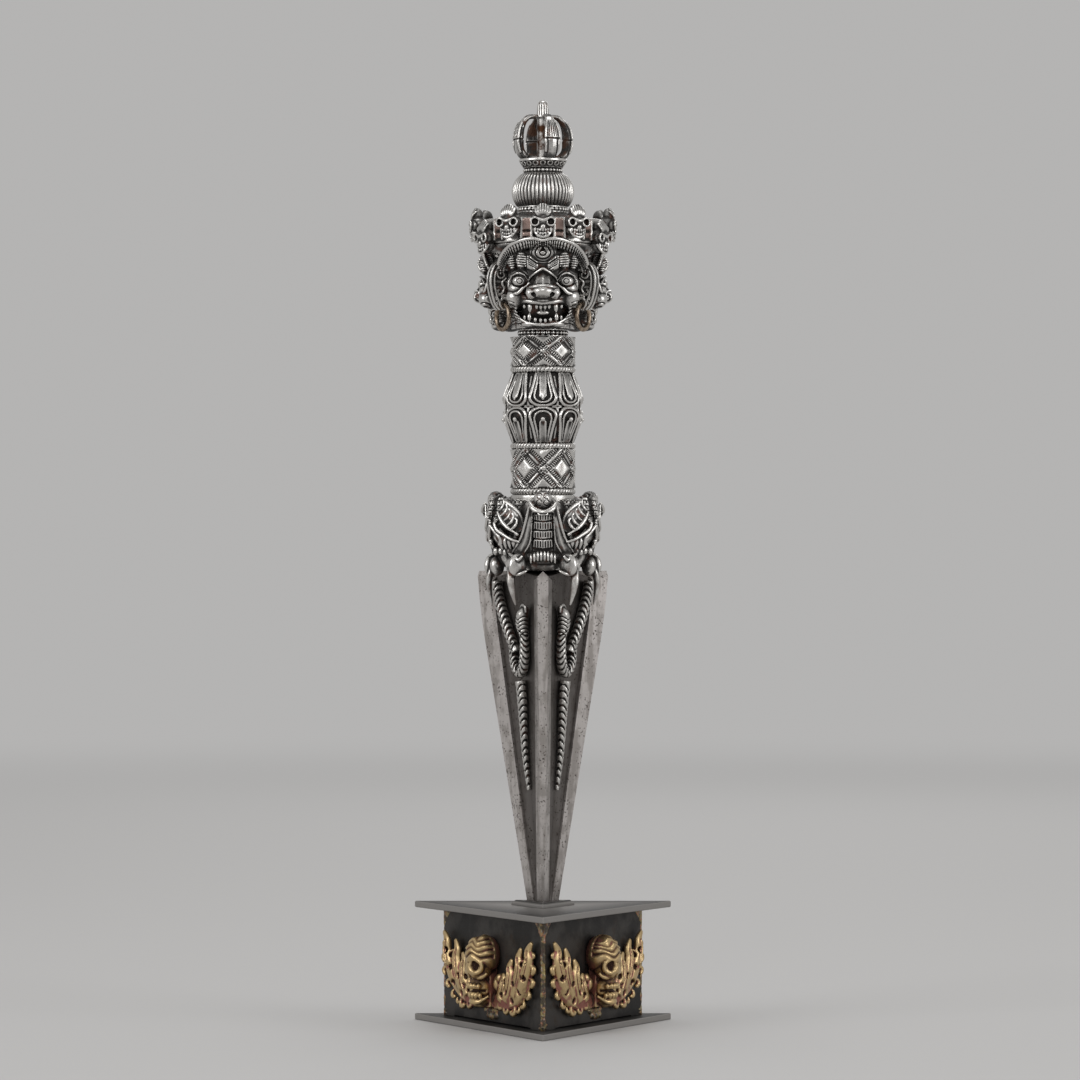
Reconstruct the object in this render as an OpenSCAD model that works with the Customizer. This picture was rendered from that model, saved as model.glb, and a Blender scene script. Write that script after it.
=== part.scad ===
/* [Stand] */
// Side of the three-cornered base and top plates
plate_side = 90; // [84:1:110]
// Thickness of the base and top plates
plate_t = 2.2; // [1.5:0.1:4]
// Height of the walls between the plates
wall_h = 37.2; // [34:0.2:50]
// Side of the box that the walls make, outside
box_side = 70; // [66:1:80]
// Thickness of the wall sheet
wall_t = 1.5; // [1:0.1:3]
// Height of the slit under each wall
slit_h = 0.7; // [0.3:0.1:1.5]
// Length of the foot at each end of a wall
foot_l = 7; // [3:0.5:14]
// Width of the brazed seam at each corner of the box
seam_w = 1.4; // [0.8:0.1:3]
// Side of the socket collar on the top plate
collar_side = 22; // [20:0.5:32]
// Height of the socket collar
collar_h = 1.8; // [1:0.1:4]
// Width of the bevel on the collar's upper edge
collar_bevel = 0.8; // [0.2:0.1:1.2]
// Gap between the blade and the mouth of its socket
socket_gap = 0.3; // [0.2:0.05:0.8]

/* [Stand ornament] */
// Width of a brass skull casting with its leaves
ornament_w = 60; // [54:0.5:62]
// Height of the casting
ornament_h = 27; // [22:0.5:30]
// Height of its lowest point above the base plate
ornament_lift = 3.6; // [2:0.2:6]
// Thickness of the leaf scrolls
leaf_t = 2.6; // [1.5:0.1:4]
// Radius of the skull's cranium
cranium_r = 6.4; // [5:0.1:7.5]

/* [Blade] */
// Height of the blade's point above the table
tip_z = 9.8; // [6:0.1:14]
// Length of the blade from its point to the tops of the fins
blade_len = 147.6; // [135:0.2:160]
// Distance from the axis to a fin's ridge at the top
fin_reach = 25.6; // [22:0.1:30]
// Inward curve of the ridge near the top
fin_round = 1.5; // [0.5:0.1:3]
// Length of that curved stretch
fin_round_len = 24; // [15:1:40]
// Width of a fin's ground edge at the top
edge_w = 6.2; // [5:0.1:8]
// Depth of the ground edge at the top
edge_d = 7.4; // [5:0.1:9]
// Thickness of the web behind the ground edge
web_w = 3.8; // [2.5:0.1:5]
// Radius of the tang inside the handle
tang_r = 4; // [3:0.1:5]
// Gap between the tang and the handle sections
tang_gap = 0.1; // [0.05:0.01:0.2]

/* [Nagas] */
// Radius of a naga's body
naga_r = 2; // [1.5:0.1:2.2]
// Height of the makara block above the naga's bend
naga_drop = 35.6; // [32:0.2:42]
// Gap between a naga and the blade
naga_gap = 0.1; // [0.05:0.05:0.4]

/* [Handle sections] */
// Height of the makara block
makara_h = 26.3; // [24:0.1:30]
// Half width of the makara block's core across its flats
core_r = 10; // [9:0.1:11.5]
// Height of the rope rings
rope_h = 2.4; // [1.8:0.1:3.2]
// Outer radius of the rope rings
rope_r = 11.3; // [10.8:0.1:12.5]
// Number of strands' turns in a rope ring
rope_turns = 22; // [12:1:30]
// Height of the lower knot section
lower_knot_h = 13.2; // [11:0.1:16]
// Height of the upper knot section
upper_knot_h = 10; // [8:0.1:13]
// Radius of the knot sections under their ribbons
knot_r = 10.4; // [9.6:0.1:11]
// Thickness of the knot ribbons
ribbon_t = 1.4; // [0.8:0.1:2]
// Width of the knot ribbons
ribbon_w = 3.6; // [3:0.1:5]
// Number of ribbons that lean each way round a knot
ribbons = 5; // [4:1:6]
// Height of the lower lotus
lower_lotus_h = 12.2; // [10:0.1:15]
// Height of the upper lotus
upper_lotus_h = 11.8; // [10:0.1:15]
// Radius of the lotus body at its widest
lotus_r = 13.4; // [12:0.1:15]
// Radius of the lotus body at its narrow end
lotus_waist_r = 9.8; // [8.5:0.1:11]
// Thickness of the petals
petal_t = 1.1; // [0.6:0.1:1.6]
// Number of petals round each lotus
petals = 8; // [6:1:10]
// Height of the beaded neck ring
neck_h = 2.8; // [2:0.1:4]
// Outer radius of the neck ring
neck_r = 9; // [8.4:0.1:10]

/* [Heads] */
// Height from the chins to the flat under the crown
head_h = 29; // [27:0.1:31]
// Thickness of an ear
ear_t = 1.5; // [1.2:0.1:1.7]
// Gap between two ears that stand back to back
ear_gap = 0.3; // [0.2:0.05:0.5]
// Distance from the axis to the holes in the ear lobes
lobe_reach = 15.9; // [15.5:0.1:16.6]
// Radius of the ear ring, to the middle of its wire
ring_r = 4.4; // [4:0.1:4.8]
// Radius of the ear ring's wire
wire_r = 0.8; // [0.6:0.05:0.9]
// Gap round the wire in its lobe hole
wire_gap = 0.07; // [0.05:0.01:0.1]

/* [Crown and finial] */
// Height of the crown band
crown_h = 11; // [9:0.1:13]
// Distance from the axis to the flats of the crown band
crown_r = 21.6; // [20:0.1:23]
// Height of the skulls on the crown
crown_skull_h = 11; // [9:0.1:13]
// Number of skulls round the crown
crown_skulls = 12; // [9:3:15]
// Height of the beaded ring under the bulb
bulb_ring_h = 2.4; // [1.8:0.1:3]
// Height of the fluted bulb
bulb_h = 13.2; // [11:0.1:16]
// Radius of the fluted bulb
bulb_r = 10.8; // [9.8:0.1:12]
// Radius of the bulb's swelling side
bulb_round = 7.6; // [6.8:0.1:9]
// Depth of the flutes
flute_d = 0.5; // [0.3:0.05:0.9]
// Number of flutes round the bulb
flutes = 40; // [24:2:48]
// Height of the vajra's collar
vajra_collar_h = 3.2; // [2.5:0.1:4]
// Outer radius of the vajra's collar
vajra_collar_r = 8.4; // [7.8:0.1:9.2]
// Height of the curved outer prongs
prong_h = 15.4; // [13:0.1:18]
// Distance from the axis to the outside of the prongs
prong_reach = 10.2; // [9.2:0.1:11]
// Width of a prong
prong_w = 5.4; // [4:0.1:6]
// Thickness of a prong
prong_t = 2; // [1.6:0.1:2.6]
// Height of the centre prong above the collar
centre_prong_h = 20.4; // [18.5:0.1:24]
// Radius of the centre prong at its foot
centre_prong_r = 2.3; // [1.8:0.1:2.8]

/* [Hidden] */
$fa = 6;
$fs = 0.4;

silver = [0.62, 0.61, 0.6];
dark_silver = [0.42, 0.41, 0.4];
steel = [0.6, 0.57, 0.55];
pewter = [0.45, 0.44, 0.43];
iron = [0.2, 0.19, 0.19];
brass = [0.78, 0.6, 0.3];
copper = [0.6, 0.36, 0.24];
wire = [0.55, 0.47, 0.4];

// Heights of the seams between the pieces, from the table up
wall_z = plate_t;
top_plate_z = wall_z + wall_h;
collar_z = top_plate_z + plate_t;
mouth_z = collar_z + collar_h;
blade_top_z = tip_z + blade_len;
lower_rope_z = blade_top_z + makara_h;
lower_knot_z = lower_rope_z + rope_h;
middle_rope_z = lower_knot_z + lower_knot_h;
lower_lotus_z = middle_rope_z + rope_h;
upper_lotus_z = lower_lotus_z + lower_lotus_h;
upper_rope_z = upper_lotus_z + upper_lotus_h;
upper_knot_z = upper_rope_z + rope_h;
neck_z = upper_knot_z + upper_knot_h;
chin_z = neck_z + neck_h;
crown_z = chin_z + head_h;
bulb_ring_z = crown_z + crown_h;
bulb_z = bulb_ring_z + bulb_ring_h;
vajra_collar_z = bulb_z + bulb_h;
prong_z = vajra_collar_z + vajra_collar_h;
tang_top_z = bulb_z + bulb_h / 2;
bulb_wide_h = sqrt(pow(bulb_round, 2) - pow(neck_r - bulb_r + bulb_round, 2));
bulb_top_r = bulb_r * 0.64;
flute_share = 0.62;
bore_r = tang_r + tang_gap;
makara_neck_z = makara_h * 0.78;

// Points and curves
function mix(a, b, t) = a + (b - a) * t;
function limit(t) = max(0, min(1, t));
function unit(v) = v / norm(v);
function turn(p, a) = [p.x * cos(a) - p.y * sin(a), p.x * sin(a) + p.y * cos(a)];
function arc(centre, r, from, to, steps) =
  [for (k = [0:steps]) centre + r * [cos(mix(from, to, k / steps)), sin(mix(from, to, k / steps))]];
function along(path, i) = unit(path[min(i + 1, len(path) - 1)] - path[max(i - 1, 0)]);
function ring_about(centre, ahead, up, r, n) =
  let (side = unit(cross(up, ahead)), top = cross(ahead, side))
  [for (k = [0:n - 1]) centre + r * (cos(360 * k / n) * side + sin(360 * k / n) * top)];

// A closed solid through rings of points, each ring counter-clockwise seen from the last one.
// Its first end is flat, or comes together in a tip.
module loft(rings, tip = undef) {
  n = len(rings[0]);
  last = (len(rings) - 1) * n;
  points = concat([for (r = rings) each r], is_undef(tip) ? [] : [tip]);
  sides = [for (i = [0:len(rings) - 2], k = [0:n - 1])
    let (a = i * n + k, b = i * n + (k + 1) % n) each [[a, a + n, b + n], [a, b + n, b]]];
  foot = is_undef(tip) ? [[for (k = [0:n - 1]) k]] : [for (k = [0:n - 1]) [last + n, k, (k + 1) % n]];
  head = [for (k = [n - 1:-1:0]) last + k];
  polyhedron(points, concat(sides, foot, [head]));
}

// A round bar along a path, with its own radius at each point
module bar(path, radii, n = 6, up = [0, 1, 0]) {
  loft([for (i = [0:len(path) - 1]) ring_about(path[i], along(path, i), up, radii[i], n)]);
}

module ball(p, r) {
  translate(p) sphere(r);
}

// The same two shapes left and right of the middle plane
module both_sides() {
  children();
  mirror([1, 0, 0]) children();
}

// The third of the circle round -Y that belongs to one of three like pieces
module third(z, h, gap, reach = 60) {
  translate([0, -gap / sin(60), z])
    linear_extrude(h) polygon([[0, 0], reach * [-sin(60), -0.5], [-reach, -reach], [reach, -reach],
                               reach * [sin(60), -0.5]]);
}

module three_cornered(side, h) {
  rotate(-90) cylinder(r = side / sqrt(3), h = h, $fn = 3);
}

module base_plate() {
  color(pewter) three_cornered(plate_side, plate_t);
}

// The walls lie on the box's sides, whose middles are this far from the axis
box_in = box_side / (2 * sqrt(3));
face_len = box_side - 2 * seam_w;

module wall(i) {
  color(iron) rotate(60 + 120 * i) translate([0, -box_in, wall_z]) intersection() {
    linear_extrude(wall_h)
      polygon([[-face_len / 2, 0], [face_len / 2, 0], [face_len / 2 - wall_t * tan(60), wall_t],
               [wall_t * tan(60) - face_len / 2, wall_t]]);
    translate([0, wall_t, 0]) rotate([90, 0, 0]) linear_extrude(wall_t)
      difference() {
        translate([-face_len / 2, 0]) square([face_len, wall_h]);
        translate([foot_l - face_len / 2, 0]) square([face_len - 2 * foot_l, slit_h]);
      }
  }
}

// Each seam fills the corner between two walls, with a thin bead down the outside
module brazing() {
  corner = box_side / sqrt(3);
  inner = corner - 2 * wall_t;
  edge = [seam_w * sin(30), seam_w * cos(30) - corner];
  flank = edge + wall_t * [-sin(60), cos(60)] + wall_t * tan(60) * [sin(30), cos(30)];
  color(copper) for (i = [0:2]) rotate(120 * i) translate([0, 0, wall_z]) {
    linear_extrude(wall_h)
      polygon([[0, -corner - 0.4], edge, flank, [0, -inner], [-flank.x, flank.y], [-edge.x, edge.y]]);
  }
}

module top_plate() {
  color(pewter) translate([0, 0, top_plate_z]) difference() {
    three_cornered(plate_side, plate_t);
    translate([0, 0, -1]) linear_extrude(plate_t + 2) socket_outline();
  }
}

module socket_collar() {
  bevel_scale = 1 - collar_bevel * 2 * sqrt(3) / collar_side;
  color(pewter) translate([0, 0, collar_z]) difference() {
    union() {
      three_cornered(collar_side, collar_h - collar_bevel);
      translate([0, 0, collar_h - collar_bevel]) rotate(-90)
        cylinder(r1 = collar_side / sqrt(3), r2 = collar_side / sqrt(3) * bevel_scale,
                 h = collar_bevel, $fn = 3);
    }
    translate([0, 0, -1]) linear_extrude(collar_h + 2) socket_outline();
  }
}

// Leaf scroll of the stand's ornament, right half, in the plane of the wall
leaf_points = [
  [0.02, 0.1], [0.2, 0.07], [0.34, 0.12], [0.42, 0.02], [0.5, 0], [0.58, 0.04], [0.61, 0.13],
  [0.7, 0.12], [0.75, 0.2], [0.73, 0.28], [0.83, 0.25], [0.89, 0.33], [0.87, 0.41], [0.96, 0.43],
  [0.99, 0.52], [0.94, 0.6], [1, 0.74], [0.98, 1], [0.9, 0.86], [0.84, 0.7], [0.8, 0.85],
  [0.72, 0.72], [0.67, 0.56], [0.6, 0.67], [0.54, 0.5], [0.46, 0.44], [0.38, 0.54], [0.3, 0.5], [0.1, 0.5]];

// The scroll's raised ribs, from root to tip, in shares of the casting's half width and height
leaf_ribs = [[[0.16, 0.2], [0.56, 0.48]], [[0.42, 0.2], [0.74, 0.62]], [[0.6, 0.22], [0.9, 0.74]],
             [[0.82, 0.4], [0.95, 0.88]]];

module rib(from, to, r) {
  run = to - from;
  translate([from.x, 0, from.y]) rotate([0, atan2(run.x, run.y), 0])
    cylinder(r1 = r, r2 = r * 0.5, h = norm(run));
}

module skull_ornament(i) {
  face_y = cranium_r * 0.55;
  skull_z = ornament_h * 0.75;
  eye = [cranium_r * 0.46, skull_z - cranium_r * 0.6];
  jaw_h = cranium_r * 1.9;
  half = ornament_w / 2;
  color(brass) rotate(60 + 120 * i) translate([0, -box_in, wall_z + ornament_lift]) difference() {
    union() {
      both_sides() {
        rotate([90, 0, 0]) linear_extrude(leaf_t)
          polygon([for (p = leaf_points) [p.x * half, p.y * ornament_h]]);
        for (line = leaf_ribs) translate([0, -leaf_t, 0])
          rib([line[0].x * half, line[0].y * ornament_h], [line[1].x * half, line[1].y * ornament_h], 1.4);
      }
      translate([0, -face_y, skull_z]) sphere(cranium_r);
      both_sides() translate([eye.x, -face_y - cranium_r * 0.5, eye[1]]) rotate([90, 0, 0])
        cylinder(r = cranium_r * 0.44, h = cranium_r * 0.5);
      translate([-cranium_r * 0.5, -face_y - cranium_r * 0.72, skull_z - cranium_r * 0.7 - jaw_h])
        cube([cranium_r, face_y + cranium_r * 0.72, jaw_h]);
      both_sides() for (row = [0, 1], k = [0:2])
        translate([(0.12 + 0.2 * k) * cranium_r, -face_y - cranium_r * (0.74 - 0.1 * k),
                   skull_z - cranium_r * (1.67 + 0.5 * row)]) sphere(cranium_r * 0.16);
    }
    both_sides() translate([eye.x, -face_y - cranium_r * 0.6, eye[1]]) rotate([90, 0, 0])
      cylinder(r = cranium_r * 0.27, h = cranium_r);
    translate([-ornament_w, 0, -1]) cube([2 * ornament_w, cranium_r * 2, ornament_h + 2]);
  }
}

// The blade's section at a given ridge radius: ground edge, step to the web, and groove floor
foot_r = 6;
function ridge_r(h) = (fin_reach + fin_round) * h / blade_len
  - fin_round * pow(max(0, h - blade_len + fin_round_len) / fin_round_len, 2);
function groove_r(r) = 0.36 * r;
function half_fin(r) =
  let (t = limit((r - foot_r) / (fin_reach - foot_r)), s = max(r, foot_r),
       nose = mix(0.5, edge_w * 0.3, t), edge = mix(2.1, edge_w / 2, t),
       depth = mix(3.6, edge_d, t), web = mix(1.7, web_w / 2, t), step = mix(0.4, 0.9, t))
  (r / s) * [[s - nose * 0.25, nose], [s - depth, edge], [s - depth - step, web],
             [groove_r(s) * 0.5, groove_r(s) * sin(60)]];
function fin(r) = let (half = half_fin(r))
  concat([for (k = [2:-1:0]) [half[k].x, -half[k].y]], [[r, 0]], half);
function section(r, spread = 0) =
  [for (i = [0:2], p = fin(r)) let (q = turn(p, 120 * i - 90)) q + spread * unit(q)];

module socket_outline() {
  polygon(section(ridge_r(mouth_z - tip_z), socket_gap));
}

module blade() {
  steps = 16;
  point_h = 6;
  heights = concat([point_h], [for (k = [1:steps]) (blade_len + 1) * k / steps]);
  roof = edge_w / 2 + 1;
  color(steel) union() {
    difference() {
      loft([for (h = heights) [for (p = section(ridge_r(h))) [p.x, p.y, tip_z + h]]], [0, 0, tip_z]);
      translate([-fin_reach * 2, -fin_reach * 2, blade_top_z]) cube([fin_reach * 4, fin_reach * 4, 3]);
      for (i = [0:2]) rotate(120 * i) translate([0, -core_r - 1.6, blade_top_z]) rotate([90, 0, 0])
        linear_extrude(fin_reach)
          polygon([[0, 0.2], [roof, 0.2 - roof], [roof, 2], [-roof, 2], [-roof, 0.2 - roof]]);
    }
    translate([0, 0, blade_top_z - 4]) cylinder(r = tang_r, h = tang_top_z - blade_top_z + 4);
  }
}

// A naga lies on the groove floor: u runs across the groove, and z is its height
function groove_floor(u, z) =
  let (r = ridge_r(z - tip_z)) groove_r(r) + abs(u) * (0.5 * (r - edge_d) + 0.6 * web_w - groove_r(r)) / r;
function in_groove(u, z, r) = [u, -groove_floor(u, z) - r - naga_gap, z];

module naga(side) {
  bend_z = blade_top_z - naga_drop;
  // From beside the side fin down to the bend, round it, and up beside the front fin
  body = concat([for (p = [[-11, 0.9], [-9.8, 0.73], [-7.4, 0.55], [-4.8, 0.38], [-2.8, 0.225]])
                   [p.x, p.y * naga_drop]],
                arc([1.2, 4.2], 3.7, 185, 355, 6), [[5.2, 8.5], [5.3, 12], [5.4, 15]]);
  steps = len(body) - 1;
  function girth(k) = naga_r * (1.04 - 0.18 * pow(abs(2 * k / steps - 1), 3));
  tail = [[0.6, -2.6], [0.9, -9], [0.1, -16], [-0.4, -24], [0, -32], [0.2, -40]];
  function taper(k) = naga_r * mix(0.95, 0.4, k / (len(tail) - 1));
  color(dark_silver) mirror([side, 0, 0]) {
    bar([for (k = [0:steps]) in_groove(body[k].x, bend_z + body[k].y, girth(k))],
        [for (k = [0:steps]) girth(k)]);
    bar([for (k = [0:len(tail) - 1]) in_groove(tail[k].x, bend_z + tail[k].y, taper(k))],
        [for (k = [0:len(tail) - 1]) taper(k)]);
    hull() {
      ball(in_groove(5.4, bend_z + 13, 1.5), 1.5, $fn = 8);
      ball(in_groove(4.4, bend_z + 18, 1.6), 1.6, $fn = 8);
      ball(in_groove(6.4, bend_z + 18, 1.6), 1.6, $fn = 8);
      ball(in_groove(6.6, bend_z + 24, 0.7), 0.7, $fn = 8);
    }
    for (k = [0:3]) hull() {
      ball(in_groove(4.6 + 0.5 * k, bend_z + 14 + k, 2.6), 0.7, $fn = 6);
      ball(in_groove(5.2 + 0.5 * k, bend_z + 18.5 + k, 2.2), 0.6, $fn = 6);
    }
  }
}

module makara_core() {
  color(dark_silver) translate([0, 0, blade_top_z]) difference() {
    union() {
      rotate(30) cylinder(r = core_r / cos(30), h = makara_neck_z, $fn = 6);
      translate([0, 0, makara_neck_z])
        cylinder(r1 = core_r / cos(30), r2 = rope_r, h = makara_h - makara_neck_z);
    }
    translate([0, 0, -1]) cylinder(r = bore_r, h = makara_h + 2);
  }
}

// Heights in the makara head are shares of its block, down to the tusks beside the fin
module makara_head(i) {
  h = makara_h;
  color(silver) rotate(120 * i) translate([0, 0, blade_top_z]) intersection() {
    third(-h, 3 * h, 0.15);
    difference() {
      makara_shapes(h);
      makara_seat(h);
      makara_mouth(h);
    }
  }
}

// The heads lie on the core's flats and on the cone above them
module makara_seat(h) {
  six = (core_r + 0.02) / cos(30);
  sides = 36;
  round_r = (rope_r + 0.1) / cos(180 / sides);
  rotate(30) translate([0, 0, -h]) cylinder(r = six, h = h + makara_neck_z, $fn = 6);
  translate([0, 0, makara_neck_z])
    cylinder(r1 = (six + 0.02) / cos(180 / sides), r2 = round_r, h = h - makara_neck_z, $fn = sides);
  translate([0, 0, h]) cylinder(r = round_r + 0.5, h = h, $fn = sides);
}

// Room for the fin between the makara's jaws
module makara_mouth(h) {
  translate([0, 0, -h]) linear_extrude(h + 0.3)
    translate([-edge_w / 2 - 1, -40]) square([edge_w + 2, 40]);
}

module makara_shapes(h) {
  $fn = 7;
  hull() both_sides() {
    ball([7, -core_r, h * 0.28], 6);
    ball([4, -core_r - 2.6, h * 0.3], 5);
    ball([5, -core_r, h * 0.74], 6);
  }
  hull() {
    ball([0, -14.6, h * 0.2], 3.8);
    ball([0, -15.6, h * 0.4], 3.4);
    ball([0, -18.6, h * 0.74], 2.8);
    ball([0, -13, h * 0.6], 3);
  }
  hull() {
    ball([0, -19.4, h * 0.76], 2.8);
    ball([0, -22.4, h * 0.8], 1.8);
  }
  ball([0, -20.4, h * 0.95], 3.1);
  both_sides() {
    hull() {
      ball([13, -8.2, h * 0.26], 5.2);
      ball([12.4, -7.6, h * 0.76], 5);
      ball([7, -12.5, h * 0.5], 5.2);
    }
    hull() {
      ball([4.8, -19.4, h * 0.86], 1.3);
      ball([8.6, -15.8, h * 0.24], 1.8);
      ball([6, -12, h * 0.4], 3);
    }
    hull() {
      ball([8.2, -14.8, h * 0.1], 2.9);
      ball([9.2, -12.2, h * 0.1], 3.4);
      ball([5.5, -12, h * 0.3], 3);
    }
    bar([[9.4, -15.6, h * 0.12], [9.8, -16.2, h * -0.1], [9.2, -16, h * -0.3], [8.6, -15.4, h * -0.48]],
        [1.8, 1.6, 1.2, 0.4]);
    hull() {
      ball([10, -12, h * 0.4], 3);
      ball([13, -12, h * 0.64], 2);
      ball([8, -11, h * 0.62], 2.6);
    }
    for (k = [0:2]) hull() {
      ball([10 + k, -13 + 0.6 * k, h * (0.5 + 0.06 * k)], 1.8);
      ball([13.6 + 1.2 * k, -12.4 + 0.7 * k, h * (0.74 + 0.08 * k)], 0.7);
    }
  }
}

// A rope ring is a sleeve wrapped in slanting strands
module rope_ring(z) {
  lay = 45;
  strand = PI * rope_r / rope_turns * sin(lay) * 0.94;
  color(silver) translate([0, 0, z]) difference() {
    intersection() {
      union() {
        cylinder(r = rope_r - strand * 0.9, h = rope_h);
        for (k = [0:rope_turns - 1]) rotate(360 * k / rope_turns)
          translate([rope_r - strand, 0, rope_h / 2]) rotate([lay, 0, 0])
            cylinder(r = strand, h = 3 * rope_h, center = true);
      }
      cylinder(r = rope_r + strand, h = rope_h);
    }
    translate([0, 0, -1]) cylinder(r = bore_r, h = rope_h + 2);
  }
}

// A knot section is a barrel with flat ribbons that cross as they climb
module knot(z, h) {
  slope = atan2(h, 2 * PI * knot_r / ribbons);
  color(silver) translate([0, 0, z]) difference() {
    intersection() {
      union() {
        cylinder(r = knot_r, h = h);
        for (k = [0:ribbons - 1], lean = [-1, 1]) rotate((360 * k + 90 * lean) / ribbons)
          translate([0, -knot_r, h / 2])
          rotate([0, lean * (90 - slope), 0])
            cube([ribbon_w, 2 * ribbon_t, h * 1.5], center = true);
      }
      cylinder(r = knot_r + ribbon_t + 0.5, h = h);
    }
    translate([0, 0, -1]) cylinder(r = bore_r, h = h + 2);
  }
}

// Outline of a lotus body as radius and height, from the waist out to the turned-in petal tips
function lotus_curve(h, extra) =
  [for (p = [[0, 0], [0.83, 0.6], [1, 0.75], [0.95, 0.87], [0.66, 1]])
    [mix(lotus_waist_r, lotus_r, p.x) + extra, h * p.y]];

module petal_arch(w, h) {
  polygon(concat([[w / 2, 0]], [for (a = [0:15:180]) [w / 2 * cos(a), h - w / 2 + w / 2 * sin(a)]],
                 [[-w / 2, 0]]));
}

module lotus_up(h) {
  petal_w = 2 * PI * (lotus_r + lotus_waist_r) / 2 / petals * 0.9;
  difference() {
    union() {
      rotate_extrude($fn = 72) polygon(concat([[0, 0]], lotus_curve(h, 0), [[0, h]]));
      intersection() {
        rotate_extrude($fn = 72) polygon(concat([[0, 0]], lotus_curve(h, petal_t), [[0, h]]));
        for (k = [0:petals - 1]) rotate(360 * k / petals) rotate([90, 0, 0])
          linear_extrude(lotus_r + 3) {
            difference() {
              petal_arch(petal_w, h * 0.94);
              petal_arch(petal_w * 0.68, h * 0.8);
            }
            petal_arch(petal_w * 0.34, h * 0.7);
          }
      }
    }
    translate([0, 0, -1]) cylinder(r = bore_r, h = h + 2);
  }
}

module lotus_lower() {
  color(silver) translate([0, 0, lower_lotus_z]) lotus_up(lower_lotus_h);
}

module lotus_upper() {
  color(silver) translate([0, 0, upper_lotus_z + upper_lotus_h]) mirror([0, 0, 1])
    lotus_up(upper_lotus_h);
}

// A ring of beads round a plain sleeve, as many as lie side by side
module beaded_ring(z, h, r) {
  bead = h * 0.4;
  beads = floor(2 * PI * (r - bead) / (2.15 * bead));
  color(silver) translate([0, 0, z]) difference() {
    union() {
      cylinder(r = r - bead, h = h);
      intersection() {
        for (k = [0:beads - 1]) rotate(360 * (k + 0.5) / beads) translate([r - bead, 0, 0])
          cylinder(r = bead, h = h);
        rotate_extrude() translate([r - bead * 1.2, h / 2]) circle(bead * 1.2);
      }
    }
    translate([0, 0, -1]) cylinder(r = bore_r, h = h + 2);
  }
}

// Half the width of the slot that two ears share, and the size of the hole for the ring
ear_slot = ear_gap / 2 + ear_t;
wire_drop = ring_r - sqrt(ring_r * ring_r - ear_slot * ear_slot);
lobe_hole_r = wire_r + wire_drop + wire_gap;
lobe_z = chin_z + 8.4;
ear_in = 14.2;

module head(i) {
  k = head_h / 29;
  color(silver) rotate(120 * i) translate([0, 0, chin_z]) intersection() {
    third(0, head_h, 0.1);
    difference() {
      union() {
        scale(k) head_mass();
        scale(k) face();
      }
      scale(k) mouth();
      translate([0, 0, -1]) cylinder(r = bore_r + 0.2, h = head_h + 2, $fn = 24);
      for (side = [-1, 1]) rotate(60 * side) {
        translate([-ear_slot - 0.05, -40, -1]) cube([2 * ear_slot + 0.1, 40 - ear_in, 26]);
        ring_room(ring_r + wire_r + 0.6, lobe_reach - 4.3, lobe_z - chin_z - 1.2);
        ring_room(ring_r + 0.3, lobe_reach - 2, lobe_z - chin_z + 1.4);
      }
    }
  }
}

// The jaws leave room for the ear ring to hang and to swing
module ring_room(half_w, reach, top) {
  translate([-half_w, -reach - 30, -1]) cube([2 * half_w, 30, top + 1]);
}

module head_mass() {
  $fn = 12;
  cylinder(r = 10, h = 29, $fn = 18);
  hull() {
    ball([0, -13.5, 21.5], 10);
    ball([7, -12, 14], 7);
    ball([-7, -12, 14], 7);
    ball([4.5, -12.5, 7], 6.6);
    ball([-4.5, -12.5, 7], 6.6);
  }
  hull() {
    translate([0, 0, 25]) cylinder(r = 21.4, h = 4, $fn = 18);
    translate([0, 0, 17]) cylinder(r = 15, h = 4, $fn = 18);
  }
}

module face() {
  $fn = 8;
  hull() {
    ball([0, -22.4, 20.6], 2.2);
    ball([0, -25.6, 14.6], 2.6);
    ball([0, -20, 14], 3.4);
  }
  ball([0, -21.4, 25], 3.8);
  both_sides() {
    hull() {
      ball([3, -24, 13.4], 2.3);
      ball([4.4, -21.6, 13], 2.2);
    }
    hull() {
      ball([2.6, -22.6, 20.8], 1.7);
      ball([10.4, -18.6, 24], 2.2);
    }
    ball([8.4, -19.4, 17.4], 3.8);
    hull() {
      ball([9, -17.6, 12], 3.4);
      ball([10.4, -14.6, 8], 2.4);
    }
    hull() {
      ball([0, -22.4, 10.4], 1.5);
      ball([8.4, -17.4, 9.6], 1.5);
    }
    hull() {
      ball([8.4, -17.4, 9.6], 1.4);
      ball([8, -16.4, 4.4], 1.6);
    }
    hull() {
      ball([8, -16.4, 4.4], 1.6);
      ball([0, -19.4, 1.8], 1.8);
    }
    hull() {
      ball([4.4, -20.4, 9.6], 1);
      ball([4.6, -20, 5.6], 0.4);
    }
    bar([[13.6, -13.6, 17], [13.8, -16, 23], [10.4, -20.4, 28], [5.4, -23.4, 30], [-0.1, -24.4, 30.6]],
        [1.6, 1.8, 1.8, 1.8, 1.8], up = [1, 0.3, 0]);
  }
}

module mouth() {
  $fn = 8;
  difference() {
    hull() both_sides() ball([4.6, -20.2, 6.2], 3.3);
    for (x = [-4.5, 4.5]) translate([x, -20.2, 7]) cylinder(r1 = 0.4, r2 = 1, h = 4);
    translate([0, -17.5, 4]) rotate([12, 0, 0]) scale([1, 1, 0.5]) sphere(3.4);
  }
}

// An ear lies in the plane between two heads, with its curls and its long pierced lobe
module ear_plate() {
  linear_extrude(ear_t) difference() {
    union() {
      translate([17, 18.5]) circle(3.9);
      translate([16.2, 13.4]) circle(2.9);
      translate([lobe_reach, lobe_z - chin_z]) circle(lobe_hole_r + 1.5);
      translate([ear_in, lobe_z - chin_z]) square([3.6, 11]);
    }
    translate([lobe_reach, lobe_z - chin_z]) circle(lobe_hole_r);
    translate([17.4, 19]) circle(1.5);
    translate([ear_in - 4, 0]) square([4, 30]);
  }
}

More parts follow.
